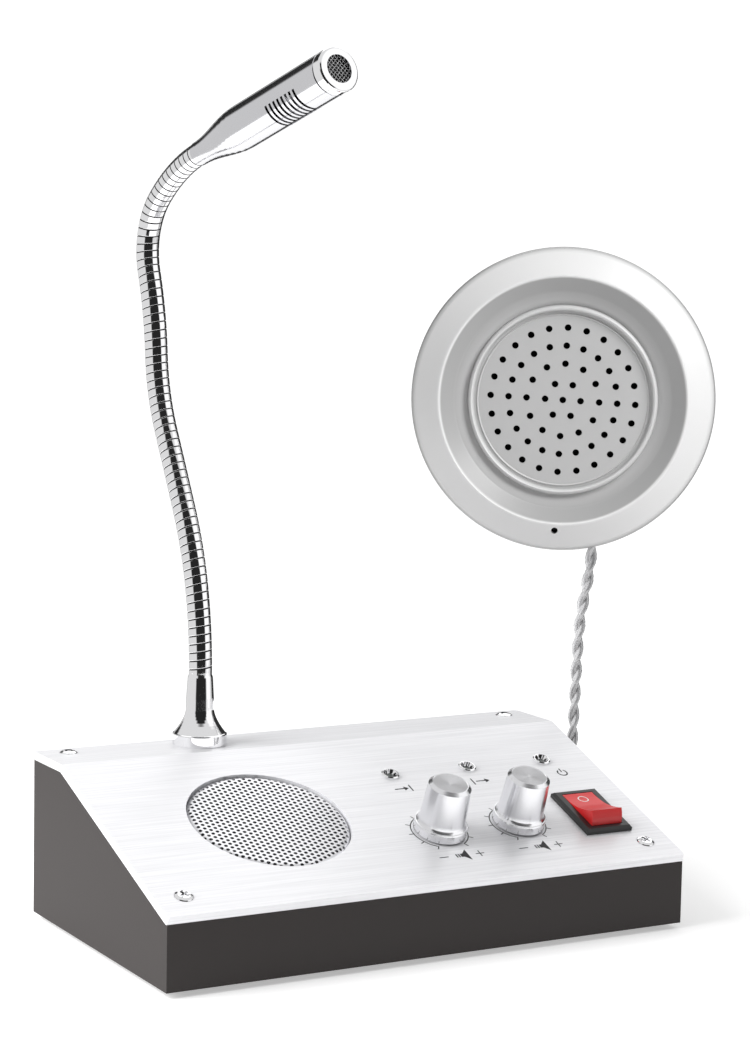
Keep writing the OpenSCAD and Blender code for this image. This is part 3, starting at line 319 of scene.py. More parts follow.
def brushed_panel():
    """Brushed aluminium, its streaks drawn out along the console's width."""
    material = new_material("panel_brushed", (0.86, 0.86, 0.88), 0.42, 0.35)
    streaks = noise_of(material, (1, 55, 55), 30, 8)
    vary(material, streaks, "Base Color", (0.82, 0.82, 0.84), (0.935, 0.935, 0.955))
    bump(material, streaks.outputs["Fac"], 0.12, 0.00005)
    return material


def coated_housing():
    """A charcoal coat with a fine grain."""
    material = new_material("housing_charcoal", (0.031, 0.026, 0.025), 0.5, Specular_IOR_Level=0.28)
    grain = noise_of(material, (1, 1, 1), 2500, 2)
    bump(material, grain.outputs["Fac"], 0.3, 0.00008)
    return material


QUARTER_TURN = 0.25


def turned_silver(name, place):
    """Lathe-turned metal: its gloss is drawn out square to the cuts that run around the axis."""
    material = new_material(
        name, (0.86, 0.86, 0.88), 0.2, 1.0,
        Anisotropic=0.9, Anisotropic_Rotation=QUARTER_TURN,
    )
    nodes, links = material.node_tree.nodes, material.node_tree.links
    position = nodes.new("ShaderNodeNewGeometry")
    outward = nodes.new("ShaderNodeVectorMath")
    outward.operation = "SUBTRACT"
    outward.inputs[1].default_value = MM * place.translation
    around = nodes.new("ShaderNodeVectorMath")
    around.operation = "CROSS_PRODUCT"
    around.inputs[0].default_value = place.col[2].xyz
    links.new(position.outputs["Position"], outward.inputs[0])
    links.new(outward.outputs["Vector"], around.inputs[1])
    links.new(around.outputs["Vector"], nodes["Principled BSDF"].inputs["Tangent"])
    return material


def radial_painted_tones(name, rough, stops):
    """Colour that changes with the distance from the window speaker's axis, in millimetres, used to paint
    highlights and light in rings.
    """
    material = new_material(name, (0.6, 0.6, 0.6), rough)
    nodes, links = material.node_tree.nodes, material.node_tree.links
    flat = nodes.new("ShaderNodeVectorMath")
    flat.operation = "MULTIPLY"
    flat.inputs[1].default_value = (1, 1, 0)
    length = nodes.new("ShaderNodeVectorMath")
    length.operation = "LENGTH"
    scaled = nodes.new("ShaderNodeMath")
    scaled.operation = "DIVIDE"
    scaled.inputs[1].default_value = WINDOW_R * MM
    links.new(object_place(material, ON_WINDOW), flat.inputs[0])
    links.new(flat.outputs["Vector"], length.inputs[0])
    links.new(length.outputs["Value"], scaled.inputs[0])
    ramp_to(material, scaled.outputs["Value"], "Base Color", [(r / WINDOW_R, tone) for r, tone in stops])
    return material


PANEL = brushed_panel()
HOUSING = coated_housing()
CHROME = new_material("chrome_polished", (0.93, 0.93, 0.94), 0.05, 1.0)
SATIN = new_material("silver_satin", (0.72, 0.72, 0.74), 0.13, 1.0)
KNOBS = [turned_silver(f"silver_turned_{i + 1}", on_slope(x, KNOB_S)) for i, x in enumerate(KNOB_X)]
SHEET = new_material("sheet_silver", (0.8, 0.8, 0.82), 0.3, 1.0)
WIRE = new_material("wire_bright", (0.92, 0.92, 0.93), 0.3, 0.4)
STEEL = new_material("steel_plated", (0.6, 0.6, 0.62), 0.3, 1.0)
# Painted light by radius: the dish is lightened next to the insert to lift its shade, the crest carries a
# painted highlight, the dish is a darker grey than the ring, and the ring darkens towards its outer rim.
SHELL_PAINTED_LIGHT = radial_painted_tones("shell_silver_painted_light", 0.38, [
    (0, 0.6), (INSERT_R, 0.6), (INSERT_R + 3, 0.48), (INSERT_R + 5.5, 0.41), (CREST_R - 0.7, 0.41),
    (CREST_R, 0.9), (CREST_R + 1, 0.8), (WINDOW_R - 2, 0.8), (WINDOW_R - 0.9, 0.6), (WINDOW_R, 0.2),
])
# Painted highlight on the insert's raised ring, with a darker line just inside it.
INSERT_PAINTED_HIGHLIGHT = radial_painted_tones("insert_grey_painted_highlight", 0.42, [
    (0, 0.56), (INSERT_R - 3.5, 0.56), (INSERT_R - 2.2, 0.45), (INSERT_R - 1.4, 0.75), (INSERT_R, 0.55),
])
BACK = new_material("back_silver", (0.6, 0.6, 0.61), 0.4)
BLACK = new_material("plastic_black", (0.014, 0.014, 0.014), 0.34)
RUBBER = new_material("rubber_black", (0.015, 0.015, 0.015), 0.75)
DARK = new_material("steel_dark", (0.03, 0.03, 0.032), 0.45, 0.6)
PAPER = new_material("cone_paper", (0.008, 0.008, 0.008), 0.85)
RED = new_material("rocker_red", (0.68, 0.02, 0.022), 0.32)
INK = new_material("ink_dark", (0.02, 0.02, 0.022), 0.6)
# Painted shade: near-black metal in the grooves between the neck's wire turns.
GROOVE_SHADE = new_material("wire_groove_painted_shade", (0.03, 0.03, 0.03), 0.5, 0.8)
PALE = new_material("mark_pale", (0.85, 0.78, 0.76), 0.5)
LENS = new_material("lamp_lens", (0.05, 0.06, 0.055), 0.12, Coat_Weight=0.5)
BOARD = new_material("board_green", (0.02, 0.12, 0.05), 0.4)
BRASS = new_material("brass_tinned", (0.75, 0.65, 0.42), 0.3, 1.0)
SLEEVE = new_material("sleeve_blue", (0.02, 0.04, 0.14), 0.35)
CORD = new_material("cord_clear", (0.6, 0.6, 0.61), 0.2, 0.3, Coat_Weight=0.6)
FOAM = new_material("pad_foam", (0.7, 0.7, 0.68), 0.9)

NODE_MATERIALS = {
    "housing": HOUSING, "rubber_feet": RUBBER, "top_panel": PANEL, "panel_screws": CHROME,
    "speaker_grille": SHEET, "grille_gasket": RUBBER, "speaker_basket": DARK, "speaker_magnet": DARK,
    "speaker_cone": PAPER, "speaker_clamps": STEEL, "speaker_nuts": STEEL, "left_pot": STEEL,
    "left_pot_nut": STEEL, "left_shaft": STEEL, "left_knob": KNOBS[0], "right_pot": STEEL,
    "right_pot_nut": STEEL, "right_shaft": STEEL, "right_knob": KNOBS[1], "led_bezels": CHROME,
    "led_lamps": LENS, "led_nuts": STEEL, "switch_housing": BLACK, "switch_rocker": RED,
    "switch_terminals": BRASS, "control_board": BOARD, "board_screws": STEEL, "amplifier_chip": BLACK,
    "heat_sink": SHEET, "capacitors": SLEEVE, "dc_jack": BLACK, "speaker_socket": BLACK,
    "socket_nuts": STEEL, "gooseneck_flange": CHROME, "flange_nut": STEEL, "mic_body": SATIN,
    "mic_cap": CHROME, "mic_mesh": STEEL, "mic_capsule": RUBBER, "mic_boot": RUBBER,
    "window_shell": SHELL_PAINTED_LIGHT, "window_grille": INSERT_PAINTED_HIGHLIGHT, "window_driver": DARK, "window_cone": PAPER,
    "window_mic": DARK, "window_back": BACK, "window_screws": STEEL, "window_pad": FOAM,
    "cord_gland": BACK, "speaker_cord": CORD, "cord_coil": CORD, "cord_tie": RUBBER,
    "cord_plug": BLACK,
}


def dress_nodes():
    """Gives each node of the frame its material; the neck's hidden stretches take chrome."""
    for name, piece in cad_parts.items():
        material = NODE_MATERIALS.get(name, CHROME)
        for slot in piece.material_slots:
            slot.material = material
        soft_edges(piece)


# ---- Camera ----

def add_camera():
    """The photograph's camera, solved from the console's corners."""
    data = bpy.data.cameras.new("photo_camera")
    data.sensor_width = SENSOR
    data.lens = FOCAL_PIXELS / PICTURE_H * SENSOR
    data.clip_start = 0.01
    data.clip_end = 20
    camera = bpy.data.objects.new("photo_camera", data)
    axes = (Vector(CAMERA_RIGHT), Vector(CAMERA_UP), -Vector(CAMERA_AHEAD))
    camera.matrix_world = Matrix((
        (axes[0][0], axes[1][0], axes[2][0], CAMERA_AT[0] * MM),
        (axes[0][1], axes[1][1], axes[2][1], CAMERA_AT[1] * MM),
        (axes[0][2], axes[1][2], axes[2][2], CAMERA_AT[2] * MM),
        (0, 0, 0, 1),
    ))
    bpy.context.scene.collection.objects.link(camera)
    bpy.context.scene.camera = camera


# ---- Speaker cord: a clear twisted pair ----

CORD_D = 4.4
HANG_ROUTE = [
    (120.8, 43, 125.4), (120.7, 43.1, 121.4), (120.5, 43.2, 117.2), (120.1, 43.4, 111.5),
    (119.4, 43.8, 105), (118.4, 44.5, 98), (117.5, 45, 91), (117, 45.3, 83),
    (116.7, 45.5, 74), (116.6, 45.8, 65), (116.5, 46.1, 56), (116.5, 46.5, 47),
    (116.5, 47.1, 38), (116.5, 48.1, 29.5), (116.5, 49.9, 21.5), (116.4, 52.9, 14),
    (116.2, 57, 8.2), (115.8, 62.3, 4.5), (115, 69, 2.8), (113.9, 76.5, 2.4),
    (112.7, 84.5, 2.5), (111.5, 92.5, 2.7), (110.3, 100, 2.9), (109.4, 106.5, 2.9),
    (109, 113, 2.9),
]
PLUG_ROUTE = [
    (51, 113, 16.1), (51, 108, 16.4), (51, 103, 17.4), (51, 98, 19.3),
    (51, 93, 21.4), (51, 88, 23.1), (51, 83, 23.9), (51, 78.6, 24),
]
CORD_STEP = 1.5
COIL_AT = (80.0, 113.0)
COIL_MEAN_R = 22.4
COIL_COLUMNS = 4
COIL_LAYERS = 4
COIL_LOW_Z = 2.9
COIL_CHANGE = 60.0
COIL_STEP = 4.0
STRAND_R = 1.2
STRAND_SHIFT = CORD_D / 2 - STRAND_R
TWIST_PITCH = 17.0
CORD_SIDES = 16


def coil_points():
    """Flat spirals wound in and out in turn, a layer above the one before."""
    outer = COIL_MEAN_R + CORD_D * (COIL_COLUMNS - 1) / 2
    inner = outer - CORD_D * (COIL_COLUMNS - 1)
    sweep = 360.0 * (COIL_COLUMNS - 1)
    out = []
    start = 0.0
    for layer in range(COIL_LAYERS):
        near, far = (outer, inner) if layer % 2 == 0 else (inner, outer)
        z = COIL_LOW_Z + CORD_D * layer
        steps = round(sweep / COIL_STEP)
        for k in range(steps):
            out.append((math.radians(start + COIL_STEP * k), near + (far - near) * k / steps, z))
        start += sweep
        if layer < COIL_LAYERS - 1:
            rises = round(COIL_CHANGE / COIL_STEP)
            for k in range(rises):
                t = k / rises
                rise = CORD_D * t * t * (3 - 2 * t)
                out.append((math.radians(start + COIL_STEP * k), far, z + rise))
            start += COIL_CHANGE
    return [Vector((*COIL_AT, z)) + r * Vector((math.cos(a), math.sin(a), 0)) for a, r, z in out]


def cord_path():
    """From the window speaker down to the floor, round the coil, and up to the plug."""
    hang = smooth_path(HANG_ROUTE, CORD_STEP)
    return hang[:-1] + coil_points() + smooth_path(PLUG_ROUTE, CORD_STEP)


def pair_outline(angle):
    """How far the two joined strands reach from the cord's middle at an angle."""
    across = abs(math.cos(angle))
    return STRAND_SHIFT * across + math.sqrt(STRAND_R ** 2 - (STRAND_SHIFT * math.sin(angle)) ** 2)


def add_cord():
    path = cord_path()
    run = 0.0
    rings = []
    for i, (point, (_, side, other)) in enumerate(zip(path, frames_along(path))):
        if i:
            run += (point - path[i - 1]).length
        ring = []
        for k in range(CORD_SIDES):
            a = 2 * math.pi * k / CORD_SIDES
            b = a + 2 * math.pi * run / TWIST_PITCH
            ring.append(point + pair_outline(a) * (math.cos(b) * side + math.sin(b) * other))
        rings.append(ring)
    piece = add_mesh("speaker_cord_run", *skin(rings))
    finish_piece(piece, "console", CORD, ("speaker_cord", "cord_coil"))


# ---- Wound neck ----

WIRE_PITCH = 2.8
WIRE_CROWN_R = 3.92
WIRE_CORE_R = 3.5

# One turn of the wire: how far along its pitch, and its height over the groove
WIRE_PROFILE = (
    (0.0, 0.0), (0.03, 0.85), (0.06, 1.0), (0.1, 1.01),
    (0.5, 1.02), (0.84, 1.01), (0.88, 1.0), (0.94, 0.8),
)
WIRE_SIDES = 40
WIRE_EDGE_ANGLE = 60
BLEND_REACH = 10.0
NECK_BODIES = ("console", "neck_2", "neck_3", "neck_4", "neck_5", "neck_6", "mic_head")


def wound_mesh(name, first, last):
    """A run of the wound wire between two turns; its rows follow the wire around the neck."""
    rows = len(WIRE_PROFILE)
    index, points, faces, dark = {}, [], [], []

    def at(row, side):
        if side == WIRE_SIDES:
            row, side = row + rows, 0
        if (row, side) not in index:
            step, height = WIRE_PROFILE[row % rows]
            run = WIRE_PITCH * (row // rows + step + side / WIRE_SIDES)
            radius = WIRE_CORE_R + (WIRE_CROWN_R - WIRE_CORE_R) * height
            a = 2 * math.pi * side / WIRE_SIDES
            index[(row, side)] = len(points)
            points.append(on_neck(run) @ Vector((radius * math.cos(a), radius * math.sin(a), 0)))
        return index[(row, side)]

    for row in range(rows * first, rows * last):
        for side in range(WIRE_SIDES):
            faces.append((at(row, side), at(row, side + 1), at(row + 1, side + 1), at(row + 1, side)))
            # The rows in the groove between turns take the painted shade.
            dark.append(row % rows in (0, rows - 2, rows - 1))
    piece = add_mesh(name, points, faces)
    piece.data.materials.append(CHROME)
    piece.data.materials.append(GROOVE_SHADE)
    for face, in_groove in zip(piece.data.polygons, dark):
        face.material_index = 1 if in_groove else 0
    return piece


def add_neck():
    """Eight runs of wire: the ends ride with the foot and the head, and the others are baked in place
    where they lie.
    """
    turns = round(NECK_STRETCH / WIRE_PITCH)
    half = turns // 2
    count = len(NECK_TURNS)
    for k in range(count + 1):
        first = -1 if k == 0 else turns * k - half
        last = turns * count if k == count else turns * k + half
        piece = wound_mesh(f"neck_wire_{k}", first, last)
        if k == 0:
            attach(piece, NECK_BODIES[0])
            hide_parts("gooseneck_1")
        elif k == count:
            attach(piece, NECK_BODIES[-1])
        else:
            low, high = (
                tuple(MM * on_neck(NECK_STRETCH * k + side * BLEND_REACH).translation)
                for side in (-1, 1)
            )
            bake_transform(piece)
            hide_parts(f"gooseneck_{k + 1}")
        soft_edges(piece, WIRE_EDGE_ANGLE)


# ---- Console grille: a fine perforated sheet with a rounded shoulder ----

GRILLE_OUTER_R = 27.1
GRILLE_SHOULDER_R = 2.2
GRILLE_FACE_R = GRILLE_OUTER_R - GRILLE_SHOULDER_R
GRILLE_RECESS = 0.3
GRILLE_T = 0.6
GRILLE_PITCH = 2.07
GRILLE_HOLE_R = 0.64
GRILLE_TURN = 25.0
HOLE_SIDES = 14
HOLES_REACH = GRILLE_FACE_R + GRILLE_SHOULDER_R * 0.85
RIM_DEPTH = 0.3
RIM_SIDES = 180
SHOULDER_RINGS = 8
CLEAR_OF_HOLE = 1.1
INSIDE_HOLE = 0.97
SHEET_EDGE_ANGLE = 50


def shoulder_place(reach, drop=0.0):
    """Where a point of the flat sheet lies once its rim is pressed down: radius and height."""
    radius = GRILLE_SHOULDER_R - drop
    if reach <= GRILLE_FACE_R:
        return reach, -GRILLE_RECESS - drop
    a = (reach - GRILLE_FACE_R) / GRILLE_SHOULDER_R
    if a <= math.pi / 2:
        height = -GRILLE_RECESS - GRILLE_SHOULDER_R + radius * math.cos(a)
        return GRILLE_FACE_R + radius * math.sin(a), height
    below = reach - GRILLE_FACE_R - GRILLE_SHOULDER_R * math.pi / 2
    return GRILLE_FACE_R + radius, -GRILLE_RECESS - GRILLE_SHOULDER_R - below


def grille_holes():
    """Centres of the holes in the flat sheet, in rows turned from the console's width."""
    rows = math.ceil(GRILLE_OUTER_R / GRILLE_PITCH / math.sin(math.pi / 3)) + 1
    out = []
    for j in range(-rows, rows + 1):
        for i in range(-rows, rows + 1):
            x = (i + (0.5 if j % 2 else 0)) * GRILLE_PITCH
            y = j * GRILLE_PITCH * math.sin(math.pi / 3)
            if math.hypot(x, y) < HOLES_REACH:
                a = math.radians(GRILLE_TURN)
                out.append((x * math.cos(a) - y * math.sin(a), x * math.sin(a) + y * math.cos(a)))
    return out


def add_grille():
    """The sheet with its holes cut out flat, then pressed to its shoulder, with the holes' walls."""
    rim = GRILLE_FACE_R + GRILLE_SHOULDER_R * math.pi / 2 + RIM_DEPTH
    holes = grille_holes()
    flat, edges = [], []
    outlines = [(rim, (0, 0), RIM_SIDES)] + [(GRILLE_HOLE_R, centre, HOLE_SIDES) for centre in holes]
    for radius, centre, count in outlines:
        base = len(flat)
        flat += [Vector(p) for p in circle_points(radius, count, centre)]
        edges += [(base + k, base + (k + 1) % count) for k in range(count)]
    for ring in range(1, SHOULDER_RINGS):
        reach = GRILLE_FACE_R + (rim - GRILLE_FACE_R) * ring / SHOULDER_RINGS
        for p in circle_points(reach, RIM_SIDES, start=0.5 * ring):
            if all(math.hypot(p[0] - x, p[1] - y) > GRILLE_HOLE_R * CLEAR_OF_HOLE for x, y in holes):
                flat.append(Vector(p))
    sheet, _, triangles, *_ = delaunay_2d_cdt(flat, edges, [], 0, 1e-5)
    middles = [sum((sheet[i] for i in t), Vector((0, 0))) / 3 for t in triangles]
    cells = {}
    for x, y in holes:
        cells.setdefault((round(x), round(y)), []).append((x, y))

    def in_hole(p):
        near = [(round(p.x) + i, round(p.y) + j) for i in (-1, 0, 1) for j in (-1, 0, 1)]
        centres = [centre for cell in near for centre in cells.get(cell, ())]
        return any(math.hypot(p.x - x, p.y - y) < GRILLE_HOLE_R * INSIDE_HOLE for x, y in centres)

    kept = [tuple(t) for t, middle in zip(triangles, middles) if not in_hole(middle)]

    def pressed(p, drop):
        radius, z = shoulder_place(p.length, drop)
        return Vector((*(p.normalized() * radius), z)) if p.length else Vector((0, 0, z))

    top = [pressed(p, 0.0) for p in sheet], kept
    walls = []
    for centre in holes:
        ring = [Vector(p) for p in circle_points(GRILLE_HOLE_R, HOLE_SIDES, centre)]
        walls.append(skin([[pressed(p, drop) for p in ring] for drop in (GRILLE_T, 0.0)], capped=False))
    piece = add_mesh("grille_sheet", *joined([top] + walls), place=on_slope(*SPEAKER_AT))
    finish_piece(piece, "console", SHEET, ("speaker_grille",))
    soft_edges(piece, SHEET_EDGE_ANGLE)


# ---- Microphone mesh: woven wire ----

MESH_R = 5.1
MESH_CELL = 1.1
MESH_WIRE_R = 0.12
MESH_WIRE_SIDES = 6
MESH_TURN = 45.0
MESH_STEP = MESH_CELL / 3
MIC_FACE_H = 79.9
MESH_DEPTH = 0.35


def add_mic_mesh():
    """Two lots of wires that pass over and under each other, in the mouth of the cap."""
    lines = math.floor(MESH_R / MESH_CELL)
    wires = []
    for across in (0, 1):
        for i in range(-lines, lines + 1):
            aside = i * MESH_CELL
            reach = math.sqrt(MESH_R ** 2 - aside ** 2)
            steps = max(4, round(2 * reach / MESH_STEP))
            path = []
            for k in range(steps + 1):
                along = -reach + 2 * reach * k / steps
                weave = MESH_WIRE_R * math.cos(math.pi * (along / MESH_CELL + i + across))
                path.append(Vector((along, aside, weave) if across else (aside, along, weave)))
            wires.append(tube_of(path, MESH_WIRE_R, MESH_WIRE_SIDES))
    place = on_neck(NECK_END) @ shift(0, 0, MIC_FACE_H - MESH_DEPTH) @ turn(MESH_TURN, "Z")
    piece = add_mesh("mic_woven_mesh", *joined(wires), place=place)
    finish_piece(piece, "mic_head", WIRE, ("mic_mesh",))


# ---- Printed marks, a thin coat of ink on the panel and the rocker ----

INK_RISE = 0.03
MARK_S = 14.0
DIAL_R = 9.7
DIAL_LINE = 0.36
DIAL_START = -60
DIAL_END = 240
DIAL_STEP = 30
TICK_L = 1.7
VOLUME_MARK_SHIFT = 1.0
ICON_S = 55.0
ICON_SHIFTS = (0.5, 0.5, 3.5)
ICON_LINE = 0.5


def bar(x, y, w, h, angle=0.0):
    """Corners of a printed bar, centred on x, y."""
    a = math.radians(angle)
    return [
        (x + u * math.cos(a) - v * math.sin(a), y + u * math.sin(a) + v * math.cos(a))
        for u, v in ((-w / 2, -h / 2), (w / 2, -h / 2), (w / 2, h / 2), (-w / 2, h / 2))
    ]


def arc_strip(radius, line, start, end, step=6):
    """Four-cornered pieces of a printed arc."""
    count = round((end - start) / step)
    angles = [math.radians(start + (end - start) * k / count) for k in range(count + 1)]
    out = []
    for a, b in zip(angles, angles[1:]):
        near, far = radius - line / 2, radius + line / 2
        out.append([
            (near * math.cos(a), near * math.sin(a)), (far * math.cos(a), far * math.sin(a)),
            (far * math.cos(b), far * math.sin(b)), (near * math.cos(b), near * math.sin(b)),
        ])
    return out


def add_print(name, shapes, place):
    """Flat shapes of ink on the console; each shape is a list of corners in millimetres."""
    points, faces = [], []
    for shape in shapes:
        faces.append(tuple(range(len(points), len(points) + len(shape))))
        points += [Vector((x, y, INK_RISE)) for x, y in shape]
    piece = add_mesh(name, points, faces, place=place, smooth=False)
    finish_piece(piece, "console", INK)


def dial_marks():
    """The arc around a knob with its ticks."""
    shapes = arc_strip(DIAL_R, DIAL_LINE, DIAL_START, DIAL_END)
    for angle in range(DIAL_START, DIAL_END + 1, DIAL_STEP):
        a = math.radians(angle)
        reach = DIAL_R + TICK_L / 2
        shapes.append(bar(reach * math.cos(a), reach * math.sin(a), TICK_L, DIAL_LINE, angle))
    return shapes


def volume_marks():
    """A minus, a loudspeaker and a plus."""
    cone = [(0.1, 0.9), (0.1, -0.9), (2.0, -3.0), (2.0, 3.0)]
    return [
        bar(-7.2, 0, 3.4, 0.4), bar(-2.4, 0, 0.5, 1.9), bar(-1.5, 0, 0.5, 1.9),
        bar(-0.4, 0, 1.1, 1.8), cone, bar(6.4, 0, 3.2, 0.4), bar(6.4, 0, 0.4, 3.2),
    ]


def arrow(x):
    """An arrow that points across the panel, its head starting at x."""
    return [bar(x - 1.8, 0, 3.6, ICON_LINE), [(x, -1.2), (x + 1.8, 0.0), (x, 1.2)]]


def lamp_marks():
    """An arrow in, an arrow out and a power sign in place of the words."""
    arrow_in = arrow(0.3) + [bar(2.9, 0, ICON_LINE, 3.8)]
    arrow_out = [bar(-3.0, 0, ICON_LINE, 3.8)] + arrow(1.8)
    power = arc_strip(1.75, ICON_LINE, 125, 415, 12) + [bar(0, 1.5, ICON_LINE, 2.2)]
    return arrow_in, arrow_out, power


def add_printing():
    for i, x in enumerate(KNOB_X):
        add_print(f"dial_print_{i + 1}", dial_marks(), on_slope(x, KNOB_S))
        add_print(f"volume_print_{i + 1}", volume_marks(), on_slope(x + VOLUME_MARK_SHIFT, MARK_S))
    for i, (x, shapes) in enumerate(zip(LAMP_X, lamp_marks())):
        add_print(f"lamp_print_{i + 1}", shapes, on_slope(x + ICON_SHIFTS[i], ICON_S))


ROCKER_PIVOT_H = 0.5
ROCKER_LEAN = 15.0
ROCKER_HALF_L = 9.0
ROCKER_END_H = 3.92
ROCKER_MID_H = 2.5
ROCKER_DIP = 0.3
RING_Y = 5.2
RING_R = 1.75
RING_LINE = 0.42
RING_RISE = 0.05


def rocker_height(y):
    """Height of the rocker's face over its pivot, y along it from the middle."""
    t = 1 - abs(y) / ROCKER_HALF_L
    return ROCKER_END_H - (ROCKER_END_H - ROCKER_MID_H) * t - ROCKER_DIP * 4 * t * (1 - t)


def add_rocker_ring():
    """The off mark, a pale ring that lies on the rocker's hollow face."""
    points, faces = [], []
    for shape in arc_strip(RING_R, RING_LINE, 0, 360, 15):
        faces.append(tuple(range(len(points), len(points) + 4)))
        points += [Vector((x, RING_Y + y, rocker_height(RING_Y + y) + RING_RISE)) for x, y in shape]
    place = on_slope(*SWITCH_AT, ROCKER_PIVOT_H) @ turn(-ROCKER_LEAN, "X")
    piece = add_mesh("rocker_ring", points, faces, place=place)
    finish_piece(piece, "power_rocker", PALE)


# ---- Floor and light ----

FLOOR_R = 420.0
FLOOR_SIDES = 96
FLOOR_GLOW = 0.42
BACKDROP = 1.1
SOFT_LIGHT = 0.64
FLAG_SOFT = 4

# A black flag by the desk: degrees right of the camera, half width, upper edge, darkness
DESK_FLAG = (32, 68, 38, 0.85)

# What the gloss reflects, each over the ones before it:
# degrees right of the camera, degrees up, reach in degrees, light
GLOSS_LIGHT = 0.75
SHEET_ABOVE = (171, 47, 32, 1.35)
RIGHT_BOX = (80, 15, 26, 1.1)
SURROUND = (168, -14, 36, 0.03)
RIGHT_REAR_FLAG = (135, 5, 22, 0.03)
LEFT_REAR_FLAG = (214, 24, 17, 0.03)
FRONT_FLAG = (11, 5, 45, 0.02)
WHITE_HOLE = (180, -6, 10, 1.1)
GLOSS_CARDS = (SHEET_ABOVE, RIGHT_BOX, SURROUND, RIGHT_REAR_FLAG, LEFT_REAR_FLAG, FRONT_FLAG, WHITE_HOLE)

# The lamps: place, size and aim in metres, power in watts
LEFT_LIGHT_AT = (-0.95, 0.12, 0.65)
LEFT_LIGHT_AIM = (0, 0, 0.1)
LEFT_LIGHT_SIZE = (0.8, 0.9)
LEFT_LIGHT_POWER = 17
RIGHT_LIGHT_AT = (0.5, -0.85, 0.95)
RIGHT_LIGHT_SIZE = (0.5, 0.7)
RIGHT_LIGHT_POWER = 15
ROUND_SPEAKER = ("window_shell", "window_grille", "window_back")


def add_floor():
    """A round white floor that glows a little, so that it stays white under the shadows."""
    points = [Vector((x, y, 0)) for x, y in circle_points(FLOOR_R, FLOOR_SIDES)]
    floor = add_mesh("studio_floor", points, [tuple(range(len(points)))])
    white = new_material("floor_pale", (0.85, 0.85, 0.85), 0.7, Emission_Strength=FLOOR_GLOW)
    white.node_tree.nodes["Principled BSDF"].inputs["Emission Color"].default_value = (1, 1, 1, 1)
    floor.data.materials.append(white)


def area_light(name, at, aim, size, energy):
    data = bpy.data.lights.new(name, "AREA")
    data.shape = "RECTANGLE"
    data.size, data.size_y = size
    data.energy = energy
    light = bpy.data.objects.new(name, data)
    light.location = at
    light.rotation_euler = (Vector(aim) - Vector(at)).to_track_quat("-Z", "Y").to_euler()
    bpy.context.scene.collection.objects.link(light)
    return light


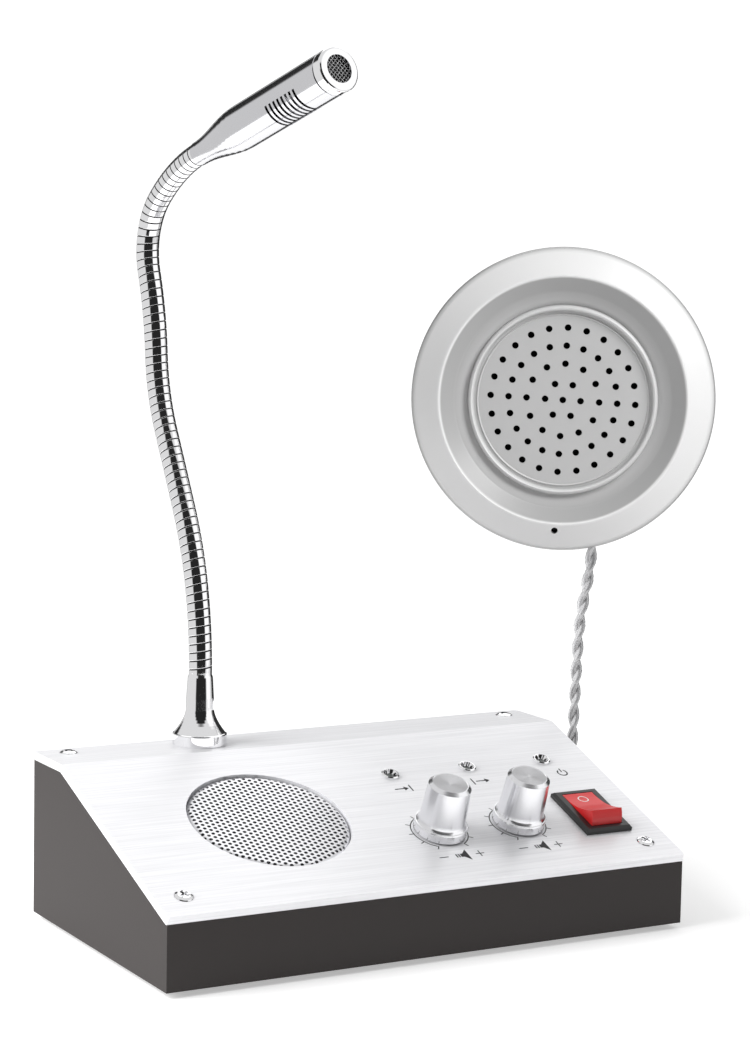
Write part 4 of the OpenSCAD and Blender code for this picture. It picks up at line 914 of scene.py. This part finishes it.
def add_world():
    """A white backdrop; the gloss reflects the cards, and the soft light has its own flag."""
    world = bpy.data.worlds.new("studio_world")
    world.use_nodes = True
    bpy.context.scene.world = world
    nodes, links = world.node_tree.nodes, world.node_tree.links

    def wire(node, sockets):
        for name, value in sockets.items():
            if isinstance(value, bpy.types.NodeSocket):
                links.new(value, node.inputs[name])
            else:
                node.inputs[name].default_value = value
        return node.outputs[0]

    def mathed(operation, a, b):
        node = nodes.new("ShaderNodeMath")
        node.operation = operation
        return wire(node, {0: a, 1: b})

    def vectored(operation, sockets):
        node = nodes.new("ShaderNodeVectorMath")
        node.operation = operation
        wire(node, sockets)
        return node

    def eased(value, low, high, start, end):
        node = nodes.new("ShaderNodeMapRange")
        node.interpolation_type = "SMOOTHSTEP"
        wire(node, {"Value": value, "From Min": low, "From Max": high})
        return wire(node, {"To Min": start, "To Max": end})

    coordinates = nodes.new("ShaderNodeTexCoord").outputs["Generated"]
    flat = vectored("MULTIPLY", {0: coordinates, 1: (1, 1, 0)})
    way = vectored("NORMALIZE", {0: flat.outputs["Vector"]}).outputs["Vector"]
    parts = nodes.new("ShaderNodeSeparateXYZ")
    links.new(coordinates, parts.inputs[0])
    behind_camera = -Vector((CAMERA_AHEAD[0], CAMERA_AHEAD[1], 0)).normalized()

    def light_left(flag):
        """How much light a flag lets through in each direction."""
        turned, half, top, dark = flag
        middle = turn(turned, "Z") @ behind_camera
        near = vectored("DOT_PRODUCT", {0: way, 1: middle}).outputs["Value"]
        edges = (math.cos(math.radians(half + FLAG_SOFT)), math.cos(math.radians(half - FLAG_SOFT)))
        tops = (math.sin(math.radians(top - FLAG_SOFT)), math.sin(math.radians(top + FLAG_SOFT)))
        beside = eased(near, *edges, 0.0, dark)
        below = eased(parts.outputs["Z"], *tops, 1.0, 0.0)
        return mathed("SUBTRACT", 1.0, mathed("MULTIPLY", beside, below))

    def within(direction, reach):
        """One inside a round card about a direction, nought outside it."""
        near = vectored("DOT_PRODUCT", {0: coordinates, 1: direction}).outputs["Value"]
        edges = (math.cos(math.radians(reach + FLAG_SOFT)), math.cos(math.radians(reach - FLAG_SOFT)))
        return eased(near, *edges, 0.0, 1.0)

    def mixed(factor, low, high):
        node = nodes.new("ShaderNodeMix")
        wire(node, {"Factor": factor, "A": low, "B": high})
        return node.outputs["Result"]

    gloss = GLOSS_LIGHT
    for right, up, reach, light in GLOSS_CARDS:
        rise = math.radians(up)
        level = turn(right, "Z") @ behind_camera
        middle = math.cos(rise) * level + math.sin(rise) * Vector((0, 0, 1))
        gloss = mixed(within(middle, reach), gloss, light)
    soft = mathed("MULTIPLY", SOFT_LIGHT, light_left(DESK_FLAG))
    ray = nodes.new("ShaderNodeLightPath").outputs
    unseen = mixed(ray["Is Glossy Ray"], soft, gloss)
    links.new(mixed(ray["Is Camera Ray"], unseen, BACKDROP), nodes["Background"].inputs["Strength"])
    nodes["Background"].inputs["Color"].default_value = (1, 1, 1, 1)


def keep_light(light, pieces, state):
    """Lights only the pieces, or everything but them."""
    linked = bpy.data.collections.new(light.name + "_linked")
    for piece in pieces:
        linked.objects.link(piece)
    light.light_linking.receiver_collection = linked
    for entry in linked.collection_objects:
        entry.light_linking.link_state = state


def add_lights():
    """The world, a lamp for everything but the window speaker, and one for that speaker alone."""
    add_world()
    round_speaker = [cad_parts[name] for name in ROUND_SPEAKER]
    left = area_light("left_light", LEFT_LIGHT_AT, LEFT_LIGHT_AIM, LEFT_LIGHT_SIZE, LEFT_LIGHT_POWER)
    left.visible_glossy = False
    keep_light(left, round_speaker, "EXCLUDE")
    aim = MM * Vector(WINDOW_AT)
    right = area_light("right_light", RIGHT_LIGHT_AT, aim, RIGHT_LIGHT_SIZE, RIGHT_LIGHT_POWER)
    keep_light(right, round_speaker, "INCLUDE")
    bpy.context.scene.view_settings.view_transform = "Standard"


dress_nodes()
add_camera()
add_cord()
add_neck()
add_grille()
add_mic_mesh()
add_printing()
add_rocker_ring()
add_floor()
add_lights()
